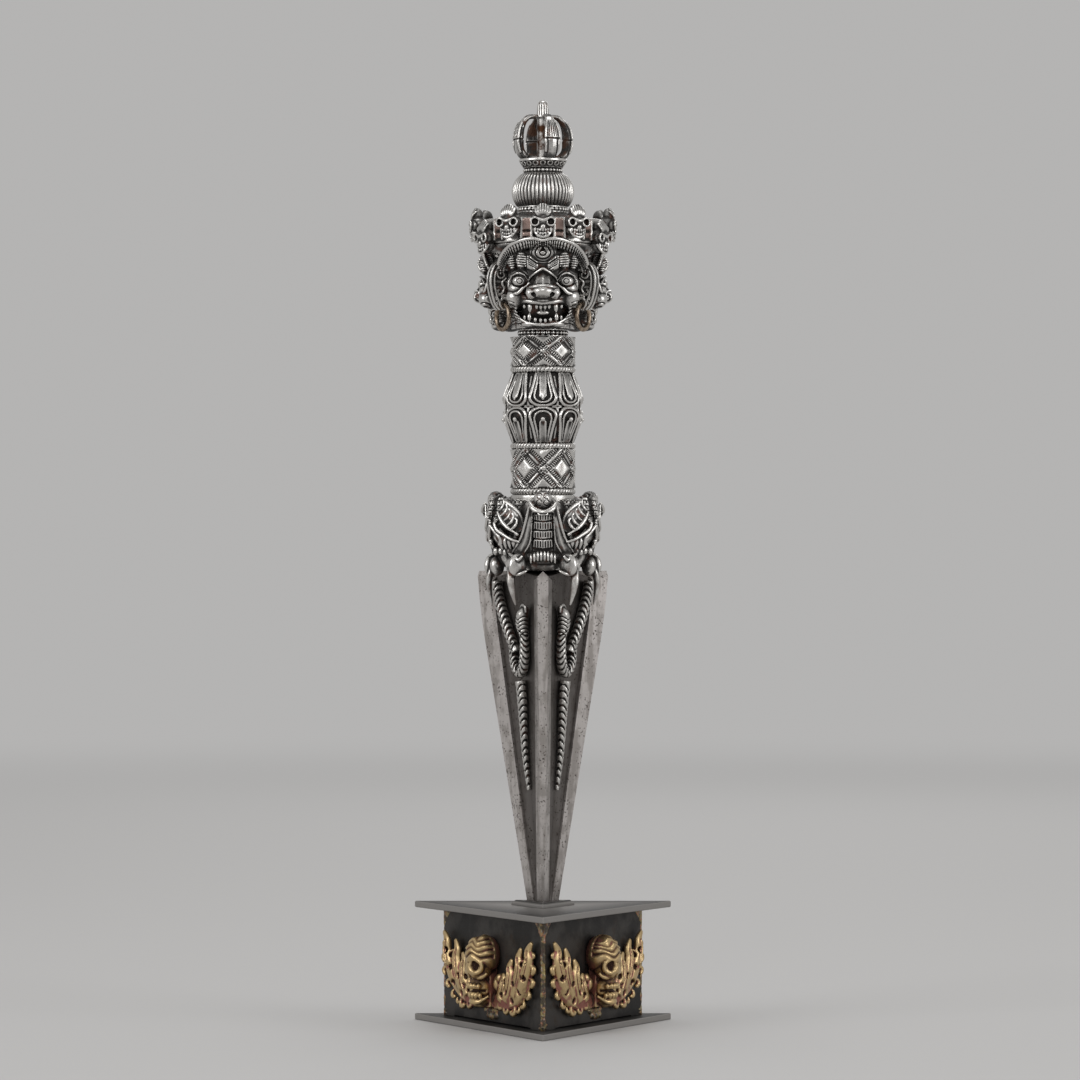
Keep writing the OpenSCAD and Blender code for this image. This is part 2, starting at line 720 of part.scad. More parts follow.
module ears(i) {
  color(silver) rotate(120 * i) translate([0, 0, chin_z]) both_sides()
    rotate(-30) translate([0, -ear_gap / 2, 0]) rotate([90, 0, 0]) ear_plate();
}

module ear_ring(i) {
  color(wire) rotate(60 + 120 * i) translate([0, -lobe_reach, lobe_z - ring_r])
    rotate([90, 0, 0]) rotate_extrude($fn = 72) translate([ring_r, 0]) circle(wire_r, $fn = 24);
}

module crown_band() {
  color(dark_silver) translate([0, 0, crown_z]) difference() {
    union() {
      rotate(180 / crown_skulls)
        cylinder(r = crown_r / cos(180 / crown_skulls), h = crown_h * 0.82, $fn = crown_skulls);
      translate([0, 0, crown_h * 0.82]) cylinder(r1 = crown_r - 2, r2 = neck_r, h = crown_h * 0.18);
    }
    translate([0, 0, -1]) cylinder(r = bore_r, h = crown_h + 2);
  }
}

// A small skull with a flat back, ringed eyes, a row of teeth and a ribbed tuft
module small_skull(h) {
  r = h * 0.36;
  difference() {
    union() {
      translate([0, -r * 0.4, h * 0.52]) sphere(r);
      both_sides() translate([h * 0.245, -r * 0.6, h * 0.5]) rotate([90, 0, 0])
        cylinder(r = h * 0.15, h = r * 0.72);
      translate([-r * 0.55, -r * 1.05, 0]) cube([r * 1.1, r * 1.05, h * 0.36]);
      translate([0, -r * 0.45, h * 0.7]) cylinder(r1 = r * 0.78, r2 = r * 0.3, h = h * 0.3);
    }
    both_sides() translate([h * 0.245, -r * 0.8, h * 0.5]) rotate([90, 0, 0])
      cylinder(r = h * 0.09, h = r);
    translate([-h, 0, -h]) cube([2 * h, h, 3 * h]);
  }
}

module crown_skulls(i) {
  each_third = crown_skulls / 3;
  color(silver) for (k = [0:each_third - 1]) {
    low = k == each_third - 1 ? crown_skull_h * 0.5 : 0;
    rotate(120 * i + 360 / crown_skulls * (k - 1)) translate([0, -crown_r, crown_z + 2 - low])
      small_skull(crown_skull_h);
  }
}

module fluted_bulb() {
  body_h = bulb_h * 0.87;
  half = flute_share * 180 / flutes;
  color(silver) translate([0, 0, bulb_z]) difference() {
    union() {
      bulb_body(bulb_round - flute_d, body_h);
      translate([0, 0, body_h]) cylinder(r = bulb_top_r, h = bulb_h - body_h);
      intersection() {
        bulb_body(bulb_round, body_h);
        linear_extrude(body_h) polygon([for (k = [0:flutes - 1], p = [[0.5, -1], [1.1, -1], [1.1, 1], [0.5, 1]])
          turn([bulb_r * p.x, 0], 360 * k / flutes + half * p.y)]);
      }
    }
    translate([0, 0, -1]) cylinder(r = bore_r, h = tang_top_z - bulb_z + 1.1);
  }
}

// The bulb's side is one arc, out of the neck and in to the vajra's collar
module bulb_body(r, h) {
  rotate_extrude($fn = 96) intersection() {
    translate([bulb_r - bulb_round, bulb_wide_h]) circle(r);
    square([bulb_r + 1, h]);
  }
  cylinder(r = bulb_r - bulb_round + 1, h = h);
}

module vajra_collar() {
  small = vajra_collar_h * 0.26;
  color(silver) translate([0, 0, vajra_collar_z]) {
    difference() {
      rotate_extrude($fn = 72)
        polygon([[0, 0], [bulb_top_r, 0], [bulb_top_r, vajra_collar_h * 0.2],
                 [vajra_collar_r - 0.6, vajra_collar_h * 0.7], [vajra_collar_r, vajra_collar_h * 0.78],
                 [vajra_collar_r, vajra_collar_h], [0, vajra_collar_h]]);
      for (k = [0:13]) rotate(360 * k / 14) translate([0, -vajra_collar_r + 1, vajra_collar_h * 0.42])
        rotate([90 - 30, 0, 0]) cylinder(r = small, h = 2);
    }
  }
}

// A prong bows out from the collar, rounds over and comes in to the centre prong
function cage(t) = pow(max(0, 1 - pow(abs(t - 0.34) / (t < 0.34 ? 0.38 : 0.66), 2.5)), 0.4);
function bow(t, inset, top) =
  [mix(centre_prong_r, prong_reach - inset, cage(t)), prong_h * top * t];

module vajra_prong(i) {
  outer = [for (k = [0:14]) bow(k / 14, 0, 1)];
  inner = [for (k = [14:-1:0]) bow(k / 14, prong_t, 0.88)];
  color(silver) rotate(20 + 90 * i) translate([0, 0, prong_z]) intersection() {
    rotate([90, 0, 0]) translate([0, 0, -prong_w / 2]) linear_extrude(prong_w)
      polygon(concat(outer, inner));
    rotate([90, 0, 90]) linear_extrude(prong_reach + 2)
      polygon([[-prong_w / 2, 0], [prong_w / 2, 0], [prong_w / 2, prong_h * 0.62],
               [prong_w * 0.28, prong_h], [-prong_w * 0.28, prong_h], [-prong_w / 2, prong_h * 0.62]]);
  }
}

module centre_prong() {
  tip_r = centre_prong_r * 0.74;
  color(silver) translate([0, 0, prong_z]) rotate_extrude($fn = 48)
    polygon(concat([[0, 0], [centre_prong_r, 0], [centre_prong_r, prong_h]],
                   [for (a = [0:15:90]) [tip_r * cos(a), centre_prong_h - tip_r + tip_r * sin(a)]]));
}

base_plate();  // stand_base_plate
wall(0);  // stand_wall_1
wall(1);  // stand_wall_2
wall(2);  // stand_wall_3
brazing();  // stand_brazing
skull_ornament(0);  // skull_ornament_1
skull_ornament(1);  // skull_ornament_2
skull_ornament(2);  // skull_ornament_3
top_plate();  // stand_top_plate
socket_collar();
blade();
rotate(60) naga(1);  // naga_1
rotate(180) naga(0);  // naga_2
rotate(-60) naga(0);  // naga_3
makara_core();
makara_head(0);  // makara_head_1
makara_head(1);  // makara_head_2
makara_head(2);  // makara_head_3
rope_ring(lower_rope_z);  // rope_ring_lower
knot(lower_knot_z, lower_knot_h);  // lower_knot
rope_ring(middle_rope_z);  // rope_ring_middle
lotus_lower();
lotus_upper();
rope_ring(upper_rope_z);  // rope_ring_upper
knot(upper_knot_z, upper_knot_h);  // upper_knot
beaded_ring(neck_z, neck_h, neck_r);  // neck_ring
head(0);  // head_1
head(1);  // head_2
head(2);  // head_3
ears(0);  // ears_1
ears(1);  // ears_2
ears(2);  // ears_3
ear_ring(0);  // ear_ring_1
ear_ring(1);  // ear_ring_2
ear_ring(2);  // ear_ring_3
crown_band();
crown_skulls(0);  // crown_skulls_1
crown_skulls(1);  // crown_skulls_2
crown_skulls(2);  // crown_skulls_3
beaded_ring(bulb_ring_z, bulb_ring_h, neck_r);  // bulb_ring
fluted_bulb();
vajra_collar();
vajra_prong(0);  // vajra_prong_1
vajra_prong(1);  // vajra_prong_2
vajra_prong(2);  // vajra_prong_3
vajra_prong(3);  // vajra_prong_4
centre_prong();  // vajra_centre_prong
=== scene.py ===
# %% [markdown]
# A phurba on its stand.
#
# A phurba is a three-finned ritual dagger. This one is cast, chased and blackened silver on a steel
# blade, and it stands point down in a three-cornered box of iron sheet. The imported model is loaded
# first and never changed: it says where every piece lies. Each piece below is then made in
# millimetres, where the model says, and scaled to metres once when it is finished.

# %% Load the fixed frame
import itertools
import math
import bmesh
import bpy
import numpy as np
from mathutils import Matrix, Vector


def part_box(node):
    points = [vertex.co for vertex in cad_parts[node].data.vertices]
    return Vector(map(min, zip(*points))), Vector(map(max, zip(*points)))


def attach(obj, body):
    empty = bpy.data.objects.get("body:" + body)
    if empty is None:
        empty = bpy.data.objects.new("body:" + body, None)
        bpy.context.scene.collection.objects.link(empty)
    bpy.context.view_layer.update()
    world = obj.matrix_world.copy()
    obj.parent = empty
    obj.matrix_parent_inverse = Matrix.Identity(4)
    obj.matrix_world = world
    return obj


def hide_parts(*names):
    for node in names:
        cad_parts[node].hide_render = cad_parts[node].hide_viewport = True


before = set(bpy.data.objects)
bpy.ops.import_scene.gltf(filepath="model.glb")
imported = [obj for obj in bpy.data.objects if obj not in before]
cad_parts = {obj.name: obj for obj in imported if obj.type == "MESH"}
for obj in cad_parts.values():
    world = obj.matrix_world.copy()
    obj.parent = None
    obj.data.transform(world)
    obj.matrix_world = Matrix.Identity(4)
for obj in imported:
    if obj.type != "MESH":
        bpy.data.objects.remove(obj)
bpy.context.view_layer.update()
MM = 0.001
TURN = 2 * math.pi


def low_high(node):
    """Lowest and highest corner of a node of the frame, in millimetres."""
    low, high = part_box(node)
    return Vector(low) / MM, Vector(high) / MM


def heights(node):
    """Bottom and top of a node, in millimetres."""
    low, high = low_high(node)
    return low.z, high.z


# %% [markdown]
# Shader sums as plain Python.
#
# A finish is mostly arithmetic on noise: "dark where the hollow mask is high, but less so where the
# metal is rubbed". Written as nodes and links that is long and hard to read, so one small class wraps
# a socket and overloads the operators. Each operator adds a Math node, and `1 - mask` works as well,
# because the reflected forms are there too. Colours go through Mix, since Math would turn them grey.

# %% A socket that can be reckoned with
class Value:
    """A number that changes over a surface."""

    def __init__(self, finish, socket):
        self.finish = finish
        self.socket = socket

    def math(self, operation, *values, clamp=False):
        node = self.finish.node("ShaderNodeMath", {"operation": operation, "use_clamp": clamp},
                                dict(enumerate(values)))
        return Value(self.finish, node.outputs[0])

    def __add__(self, other):
        return self.math("ADD", self, other)

    def __sub__(self, other):
        return self.math("SUBTRACT", self, other)

    def __mul__(self, other):
        return self.math("MULTIPLY", self, other)

    def __rsub__(self, other):
        return self.math("SUBTRACT", other, self)

    __radd__ = __add__
    __rmul__ = __mul__

    def clamp(self):
        return self.math("ADD", self, 0, clamp=True)

    def step(self, low, high):
        """0 below low, 1 above high, smooth between."""
        node = self.finish.node("ShaderNodeMapRange", {"interpolation_type": "SMOOTHSTEP"},
                                {"Value": self, "From Min": low, "From Max": high})
        return Value(self.finish, node.outputs[0])


class Finish:
    """A material under construction, with one method for every node."""

    def __init__(self, name, metallic=1.0):
        self.material = bpy.data.materials.new(name)
        self.material.use_nodes = True
        self.tree = self.material.node_tree
        self.shader = self.tree.nodes["Principled BSDF"]
        self.shader.inputs["Metallic"].default_value = metallic
        self.place = self.node("ShaderNodeTexCoord").outputs["Object"]

    def node(self, kind, settings=None, sockets=None):
        """Adds a node: its settings come first, then the values or links of its sockets."""
        node = self.tree.nodes.new(kind)
        for key, value in (settings or {}).items():
            setattr(node, key, value)
        for key, value in (sockets or {}).items():
            self.feed(node.inputs[key], value)
        return node

    def feed(self, socket, value):
        if isinstance(value, Value):
            value = value.socket
        if isinstance(value, bpy.types.NodeSocket):
            self.tree.links.new(value, socket)
        elif socket.type == "RGBA" and len(value) == 3:
            socket.default_value = (*value, 1)
        else:
            socket.default_value = value

    def noise(self, size_mm, detail=3, rough=0.55, stretch=None):
        """Cloudy noise whose patches are about size_mm across."""
        place = self.place
        if stretch:
            place = self.node("ShaderNodeMapping", None, {"Vector": place, "Scale": stretch}).outputs[0]
        node = self.node("ShaderNodeTexNoise", None, {
            "Vector": place, "Scale": 1 / (size_mm * MM), "Detail": detail, "Roughness": rough})
        return Value(self, node.outputs["Factor" if "Factor" in node.outputs else "Fac"])

    def mark(self, name):
        """A number kept on the points of the mesh."""
        return Value(self, self.node("ShaderNodeAttribute", {"attribute_name": name}).outputs["Fac"])

    def blend(self, under, over, share):
        """One colour over another by a share."""
        node = self.node("ShaderNodeMix", {"data_type": "RGBA"}, {0: share, 6: under, 7: over})
        return node.outputs[2]

    def finish(self, colour, rough, height=None, depth_mm=0.1, metallic=None):
        """Connects what varies to the shader and gives back the material."""
        self.feed(self.shader.inputs["Base Color"], colour)
        self.feed(self.shader.inputs["Roughness"], rough)
        if metallic is not None:
            self.feed(self.shader.inputs["Metallic"], metallic)
        if height is not None:
            bump = self.node("ShaderNodeBump", None, {
                "Height": height, "Distance": depth_mm * MM, "Strength": 1.0})
            self.feed(self.shader.inputs["Normal"], bump.outputs[0])
        return self.material


# %% [markdown]
# The silver and what time does to it.
#
# Antiqued silver is blackened all over with sulphur and then rubbed, so the black stays in the
# hollows and the high places shine. The render needs to know which is which, so every cast piece
# carries three marks on its points: `fine` for chased lines, `broad` for whole hollows and `sunk` for
# flat floors that a rubbing cloth never reaches. A little noise keeps the rubbing uneven, and a
# red-brown bloom sits in some of the hollows, as flux and oxide do. Two more marks are set on a few
# pieces only: `copper` where solder shows pink, and one that paints a dark brown inside the prong
# cage and under the makaras, partly soot that nobody could reach to clean and partly painted shade.

# %% Cast and blackened silver
def silver_finish(name, bright=(0.7, 0.685, 0.66), dark=(0.026, 0.023, 0.021), rub=0.0, gloss=0.25):
    f = Finish(name)
    cloud = f.noise(2.2, detail=4)
    grain = f.noise(0.35, detail=3)
    bloom = f.noise(3.5, detail=3)
    rubbed = (f.mark("fine") * 0.62 + f.mark("broad") * 0.5 - f.mark("sunk") * 0.42
              + (cloud - 0.5) * 0.24 + (grain - 0.5) * 0.14)
    shine = rubbed.step(0.48 - rub, 0.8 - rub)
    mid = rubbed.step(0.3 - rub, 0.56 - rub)
    hollow = f.blend(dark, [0.36 * c for c in bright], mid)
    colour = f.blend(hollow, bright, shine)
    rust = bloom.step(0.56, 0.68) * (1 - shine) * 0.75
    colour = f.blend(colour, (0.13, 0.062, 0.045), rust)
    colour = f.blend(colour, (0.3, 0.2, 0.17), f.mark("copper") * 0.85)
    # Dark brown, partly soot and partly painted shade, inside the prong cage and under the makaras.
    colour = f.blend(colour, (0.085, 0.04, 0.022), f.mark("soot") * bloom.step(0.4, 0.6))
    rough = (0.5 - shine * (0.5 - gloss) + (cloud - 0.5) * 0.12 + f.mark("soot") * 0.2).clamp()
    return f.finish(colour, rough, grain * 0.5 + cloud, 0.05, metallic=(0.45 + mid * 0.55).clamp())


silver = silver_finish("antique_silver")
print("silver:", silver.name)

# %% [markdown]
# Shapes in wax.
#
# The real pieces were modelled in wax, invested and cast, so the script works the same way: lumps,
# rolls and blocks are pressed into each other without care for how they meet. A roll is one circle
# extruded from place to place along a smooth line, which is how a rope, a trunk, a curl of hair and
# the rim of a petal are all made. Its size may change on the way, and it may be flattened.

# %% Lumps, blocks, discs and rolls
def put(bm, verts, at=(0, 0, 0), size=(1, 1, 1), turn=(0, 0, 0)):
    """Sizes, turns and moves points. The turns are degrees about X, Y and Z."""
    turns = Matrix.Identity(4)
    for angle, axis in zip(turn, "XYZ"):
        turns = Matrix.Rotation(math.radians(angle), 4, axis) @ turns
    sizes = Matrix.Diagonal((*size, 1))
    bmesh.ops.transform(bm, matrix=Matrix.Translation(at) @ turns @ sizes, verts=verts)


def lump(bm, at, size, turn=(0, 0, 0), detail=3):
    """A round lump, whose size is one radius or three."""
    radii = size if hasattr(size, "__len__") else (size, size, size)
    put(bm, bmesh.ops.create_icosphere(bm, subdivisions=detail, radius=1)["verts"], at, radii, turn)


def block(bm, at, size, turn=(0, 0, 0)):
    """A block with three side lengths, round its middle."""
    put(bm, bmesh.ops.create_cube(bm, size=1)["verts"], at, size, turn)


def disc(bm, at, radius, height, turn=(0, 0, 0), top=None, sides=48):
    """A disc or a cone, round its middle, whose axis is Z before it is turned."""
    made = bmesh.ops.create_cone(bm, cap_ends=True, segments=sides, radius1=radius,
                                 radius2=radius if top is None else top, depth=height)
    put(bm, made["verts"], at, (1, 1, 1), turn)


def smooth_line(points, steps=6):
    """Points on a smooth curve through the given ones."""
    p = np.array([points[0], *points, points[-1]], dtype=float)
    line = []
    for a, b, c, d in zip(p, p[1:], p[2:], p[3:]):
        for t in np.arange(steps) / steps:
            line.append(0.5 * (2 * b + (c - a) * t + (2 * a - 5 * b + 4 * c - d) * t ** 2
                               + (3 * b - a - 3 * c + d) * t ** 3))
    return np.array([*line, p[-1]])


def spread(values, count):
    """A few values drawn out evenly to a count of them."""
    return np.interp(np.linspace(0, 1, count), np.linspace(0, 1, len(values)), values)


def extruded(bm, edges):
    """Extrudes a ring of edges once, and gives back its new points and edges."""
    made = bmesh.ops.extrude_edge_only(bm, edges=edges)["geom"]
    return [[item for item in made if isinstance(item, kind)]
            for kind in (bmesh.types.BMVert, bmesh.types.BMEdge)]


def roll(bm, points, radii, flat=1.0, up=(0, -1, 0), sides=8, steps=6):
    """A roll of wax along a smooth line. It is `flat` times as thick towards `up` as it is wide.
    Where `up` is None, up is away from the axis."""
    line = [Vector(p) for p in smooth_line(points, steps)]
    if not hasattr(radii, "__len__"):
        radii = [radii, radii]
    verts = bmesh.ops.create_circle(bm, segments=sides, radius=1)["verts"]
    before = Matrix.Identity(4)
    ring = list({edge for vert in verts for edge in vert.link_edges})
    bmesh.ops.edgeloop_fill(bm, edges=ring)
    for i, (place, size) in enumerate(zip(line, spread(radii, len(line)))):
        ahead = (line[min(i + 1, len(line) - 1)] - line[max(i - 1, 0)]).normalized()
        side = (Vector(up) if up else Vector((place.x, place.y, 0))).cross(ahead).normalized()
        top = ahead.cross(side)
        lie = Matrix((side * size, top * size * flat, ahead)).transposed().to_4x4()
        now = Matrix.Translation(place) @ lie
        if i:
            verts, ring = extruded(bm, ring)
        bmesh.ops.transform(bm, matrix=now @ before.inverted(), verts=verts)
        before = now
    bmesh.ops.edgeloop_fill(bm, edges=ring)


def both(shape, bm, points, *rest, **named):
    """The same roll left and right of the middle plane."""
    shape(bm, points, *rest, **named)
    if named.get("up"):
        named["up"] = (-named["up"][0], *named["up"][1:])
    shape(bm, [(-p[0], p[1], p[2]) for p in points], *rest, **named)


def pair(shape, bm, at, *rest, turn=(0, 0, 0), **named):
    """The same lump, block or disc left and right of the middle plane."""
    shape(bm, at, *rest, turn=turn, **named)
    shape(bm, (-at[0], at[1], at[2]), *rest, turn=(turn[0], -turn[1], -turn[2]), **named)


# %% [markdown]
# From wax to metal.
#
# Pressed together, the lumps still pass through each other. The Remesh modifier in its voxel mode
# walks round the outside of all of them and lays one even skin, which fuses them as casting does,
# and a little smoothing takes off the voxel steps. The even points then make the rest easy. Lines are
# chased by moving the points near a stroke in or out. The marks `fine` and `broad` are the height of
# each point over its surroundings, smoothed a little or a lot, and `sunk` is its depth under a cloth
# too stiff to enter a narrow hollow. Last, points are merged where the skin is nearly flat, which
# halves the triangles and leaves the chased lines theirs.

# %% From bmesh to mesh and object
def mesh_of(bm, name):
    """A mesh of what a bmesh holds. The bmesh is let go."""
    mesh = bpy.data.meshes.new(name)
    bm.to_mesh(mesh)
    bm.free()
    return mesh


def in_scene(name, data):
    """A new object in the scene."""
    thing = bpy.data.objects.new(name, data)
    bpy.context.scene.collection.objects.link(thing)
    return thing


def applied(model):
    """A new mesh with an object's modifiers applied. The object is removed."""
    mesh = bpy.data.meshes.new_from_object(
        model.evaluated_get(bpy.context.evaluated_depsgraph_get()))
    bpy.data.objects.remove(model)
    return mesh


# %% Casting, chasing and marking
class Casting:
    """One even skin of points, in millimetres, that can be chased."""

    def __init__(self, bm, grain=0.24, soften=2):
        wax = mesh_of(bm, "wax")
        model = in_scene("wax", wax)
        fuse = model.modifiers.new("fuse", "REMESH")
        fuse.mode = "VOXEL"
        fuse.voxel_size = grain
        soft = model.modifiers.new("soften", "SMOOTH")
        soft.factor = 0.5
        soft.iterations = soften
        self.mesh = applied(model)
        bpy.data.meshes.remove(wax)
        self.read()
        edges = np.zeros(len(self.mesh.edges) * 2, dtype=np.int32)
        self.mesh.edges.foreach_get("vertices", edges)
        both_ways = edges.reshape(-1, 2)
        self.start = np.concatenate([both_ways[:, 0], both_ways[:, 1]])
        self.end = np.concatenate([both_ways[:, 1], both_ways[:, 0]])
        self.neighbours = np.bincount(self.start, minlength=len(self.points))[:, None]

    def taken(self, name):
        """Three numbers of every point, as rows."""
        numbers = np.zeros(len(self.mesh.vertices) * 3)
        self.mesh.vertices.foreach_get(name, numbers)
        return numbers.reshape(-1, 3)

    def read(self):
        self.points, self.normals = self.taken("co"), self.taken("normal")

    def write(self):
        """Gives moved points back to the mesh, and takes up its new normals."""
        self.mesh.vertices.foreach_set("co", self.points.ravel())
        self.mesh.update()
        self.read()

    def trim(self, low, high):
        """Files the casting off level at its bottom and top."""
        self.points[:, 2] = np.clip(self.points[:, 2], low, high)
        self.write()

    def angle(self):
        """The angle of every point round the axis, counted from the front."""
        return np.arctan2(self.points[:, 0], -self.points[:, 1])

    def reach(self):
        """The distance of every point from the axis."""
        return np.hypot(self.points[:, 0], self.points[:, 1])

    def flat_map(self, round_at=None):
        """Where each point lies on the sheet that strokes are drawn on: seen from the front, or
        unrolled from a cylinder of a radius."""
        if round_at is None:
            return self.points[:, [0, 2]]
        return np.stack([self.angle() * round_at, self.points[:, 2]], axis=1)

    def chase(self, strokes, width, depth, where=None, round_at=None, sharp=1.0):
        """Moves the points near each stroke along their normals: in where depth is negative."""
        sheet = self.flat_map(round_at)
        push = np.zeros(len(self.points))
        for stroke in strokes:
            line = np.array(stroke, dtype=float)
            near = ((sheet > line.min(axis=0) - width) & (sheet < line.max(axis=0) + width)).all(axis=1)
            if where is not None:
                near &= where
            spots = sheet[near]
            best = np.full(len(spots), np.inf)
            for a, b in zip(line, line[1:]):
                run = b - a
                t = np.clip(((spots - a) @ run) / max(run @ run, 1e-9), 0, 1)
                best = np.minimum(best, np.linalg.norm(spots - a - t[:, None] * run, axis=1))
            share = np.clip(1 - best / width, 0, 1)
            soft = share ** sharp if sharp != 1 else share * share * (3 - 2 * share)
            push[near] = np.maximum(push[near], soft)
        self.points += self.normals * (push * depth)[:, None]
        self.write()

    def smoothed(self, rounds):
        """The points after some rounds of moving halfway to the middle of their neighbours."""
        spots = self.points.copy()
        for _ in range(rounds):
            around = np.stack([np.bincount(self.start, weights=spots[self.end, k],
                                           minlength=len(spots)) for k in range(3)], axis=1)
            spots = 0.5 * spots + 0.5 * around / self.neighbours
        return spots

    def store(self, name, shares):
        """Keeps one number from 0 to 1 on every point, for the finish to read."""
        layer = self.mesh.attributes.get(name) or self.mesh.attributes.new(name, "FLOAT", "POINT")
        layer.data.foreach_set("value", np.clip(shares, 0, 1).astype(np.float32))

    def sunk(self, across=None, out=None, cell=0.4, wide=4, middle_r=15):
        """How deep each point lies under a cloth drawn over the piece, which is too stiff to enter a
        hollow narrower than 2 * wide cells. Looks from outside at the axis, or along `out`."""
        if across is None:
            across, out = self.angle() * middle_r, self.reach()
        u = ((across - across.min()) / cell).astype(int)
        v = ((self.points[:, 2] - self.points[:, 2].min()) / cell).astype(int)
        cloth = np.full((u.max() + 1, v.max() + 1), -np.inf)
        np.maximum.at(cloth, (u, v), out)
        for pick, outside in ((np.max, -np.inf), (np.min, np.inf)):
            cloth[np.isinf(cloth)] = outside
            cloth = np.pad(cloth, wide, constant_values=outside)
            for axis in (0, 1):
                spans = np.lib.stride_tricks.sliding_window_view(cloth, 2 * wide + 1, axis)
                cloth = pick(spans, axis=-1)
        return cloth[u, v] - out

    def mark(self, fine_mm=0.035, broad_mm=0.3, sunk=None, sunk_mm=1.1):
        """Stores how far each point stands over its surroundings, near and wide, and how deep it
        lies, and gives back the finished mesh with fewer points."""
        for name, rounds, scale in (("fine", 5, fine_mm), ("broad", 70, broad_mm)):
            height = ((self.points - self.smoothed(rounds)) * self.normals).sum(axis=1)
            self.store(name, 0.5 + 0.5 * np.tanh(height / scale))
        self.store("sunk", (self.sunk() if sunk is None else sunk) / sunk_mm)
        return self.lighten()

    def lighten(self, keep=0.5):
        """Merges points where the surface is nearly flat, so that the chased lines keep theirs. The
        few doubled faces that this leaves go before the mesh is copied: taking them out of one copy
        later would spoil the others, which share its data."""
        model = in_scene("metal", self.mesh)
        model.modifiers.new("thin", "DECIMATE").ratio = keep
        lighter = applied(model)
        lighter.validate()
        bpy.data.meshes.remove(self.mesh)
        return lighter


# %% Strokes, and finished pieces
def polar(angle, radius=1.0):
    """Across and up from the middle of a circle, at an angle in degrees."""
    a = math.radians(angle)
    return radius * math.cos(a), radius * math.sin(a)


def circle(x, z, radius, angles):
    """Points of a circle at some angles, as x and z."""
    return [(x + across, z + up) for across, up in (polar(a, radius) for a in angles)]


def ring_line(x, z, radius, low=0, high=360, wide=1.0):
    """A stroke along part of a circle, or of an oval `wide` times as wide as it is high."""
    return [(x + wide * radius * math.cos(math.radians(a)), z + radius * math.sin(math.radians(a)))
            for a in np.linspace(low, high, max(3, int((high - low) / 12)))]


def both_sides(*strokes):
    """Each stroke left and right of the middle plane."""
    return [[(side * x, z) for x, z in stroke] for stroke in strokes for side in (-1, 1)]


def finish_piece(name, mesh, body, nodes, material, flat=False):
    """Scales a finished mesh to metres and ties it to the frame. Sheet metal and the ground blade
    are shaded flat."""
    mesh.transform(Matrix.Scale(MM, 4))
    mesh.shade_flat() if flat else mesh.shade_smooth()
    mesh.materials.clear()
    mesh.materials.append(material)
    piece = in_scene(name, mesh)
    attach(piece, body)
    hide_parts(*nodes)
    levels = np.array(piece.bound_box)[:, 2] / MM
    print(f"{name}: {len(mesh.polygons)} faces, z {levels.min():.1f} to {levels.max():.1f} mm")


def silver_piece(node, cast):
    """A casting in bright silver, which stands for the node of its name."""
    finish_piece(node, cast.mark(), "phurba", [node], silver)


def three_times(name, mesh, body, material):
    """Three like pieces round the axis, made from the front one, each named like its node."""
    for i in range(3):
        copy = mesh.copy()
        copy.transform(Matrix.Rotation(i * TURN / 3, 4, "Z"))
        finish_piece(f"{name}_{i + 1}", copy, body, [f"{name}_{i + 1}"], material)
    bpy.data.meshes.remove(mesh)


# %% [markdown]
# Sheet metal, iron, brass and copper.
#
# The stand is workshop metal. Its plates are grey sheet whose edge is painted lighter, partly as
# wear and partly as a painted highlight. The walls are blackened iron, uneven as scale is. The
# corner seams were brazed and then wire-brushed, so brass, copper and rust lie next to each other in
# small patches. The castings are brass on their high places and pink copper in their hollows, where
# the pickle has eaten the zinc. The blade is ground steel: long fine scratches that run with the
# blade, clouds of grey, and small dark pits.

# %% Finishes for the stand and the blade
def plate_finish():
    f = Finish("pewter_grey_plate", metallic=0.45)
    cloud = f.noise(14, detail=5)
    grain = f.noise(0.5, detail=2)
    edge = f.mark("edge")
    body = f.blend((0.045, 0.043, 0.041), (0.08, 0.076, 0.073), cloud.step(0.35, 0.65))
    # Painted highlight, partly wear: the rounded edges are painted a lighter grey.
    colour = f.blend(body, (0.32, 0.307, 0.294), (edge * 0.9 + (grain - 0.5) * 0.22).clamp())
    f.shader.inputs["Specular IOR Level"].default_value = 0.2
    f.shader.inputs["Specular Tint"].default_value = (0.2, 0.193, 0.187, 1)
    rough = (0.52 + (cloud - 0.5) * 0.2 + (grain - 0.5) * 0.1).clamp()
    return f.finish(colour, rough, grain, 0.02)


def iron_finish():
    f = Finish("dark_iron")
    cloud = f.noise(11, detail=5, rough=0.6)
    grain = f.noise(0.6, detail=3)
    warm = f.noise(6, detail=3)
    body = f.blend((0.024, 0.0225, 0.0215), (0.066, 0.061, 0.057), cloud.step(0.38, 0.62))
    colour = f.blend(body, (0.055, 0.036, 0.026), warm.step(0.56, 0.72) * 0.6)
    rough = (0.5 + (cloud - 0.5) * 0.25 + (grain - 0.5) * 0.15).clamp()
    return f.finish(colour, rough, grain + cloud, 0.04, metallic=0.75)


def braze_finish():
    f = Finish("brazing")
    patch = f.noise(1.6, detail=4, rough=0.65)
    spot = f.noise(0.9, detail=2)
    rust = f.noise(2.4, detail=3)
    colour = f.blend((0.3, 0.24, 0.11), (0.42, 0.2, 0.12), patch.step(0.48, 0.6))
    colour = f.blend(colour, (0.3, 0.28, 0.26), spot.step(0.52, 0.62) * 0.8)
    colour = f.blend(colour, (0.05, 0.045, 0.045), rust.step(0.46, 0.58) * 0.85)
    return f.finish(colour, (0.4 + (patch - 0.5) * 0.5).clamp(), patch + spot, 0.15, metallic=0.85)


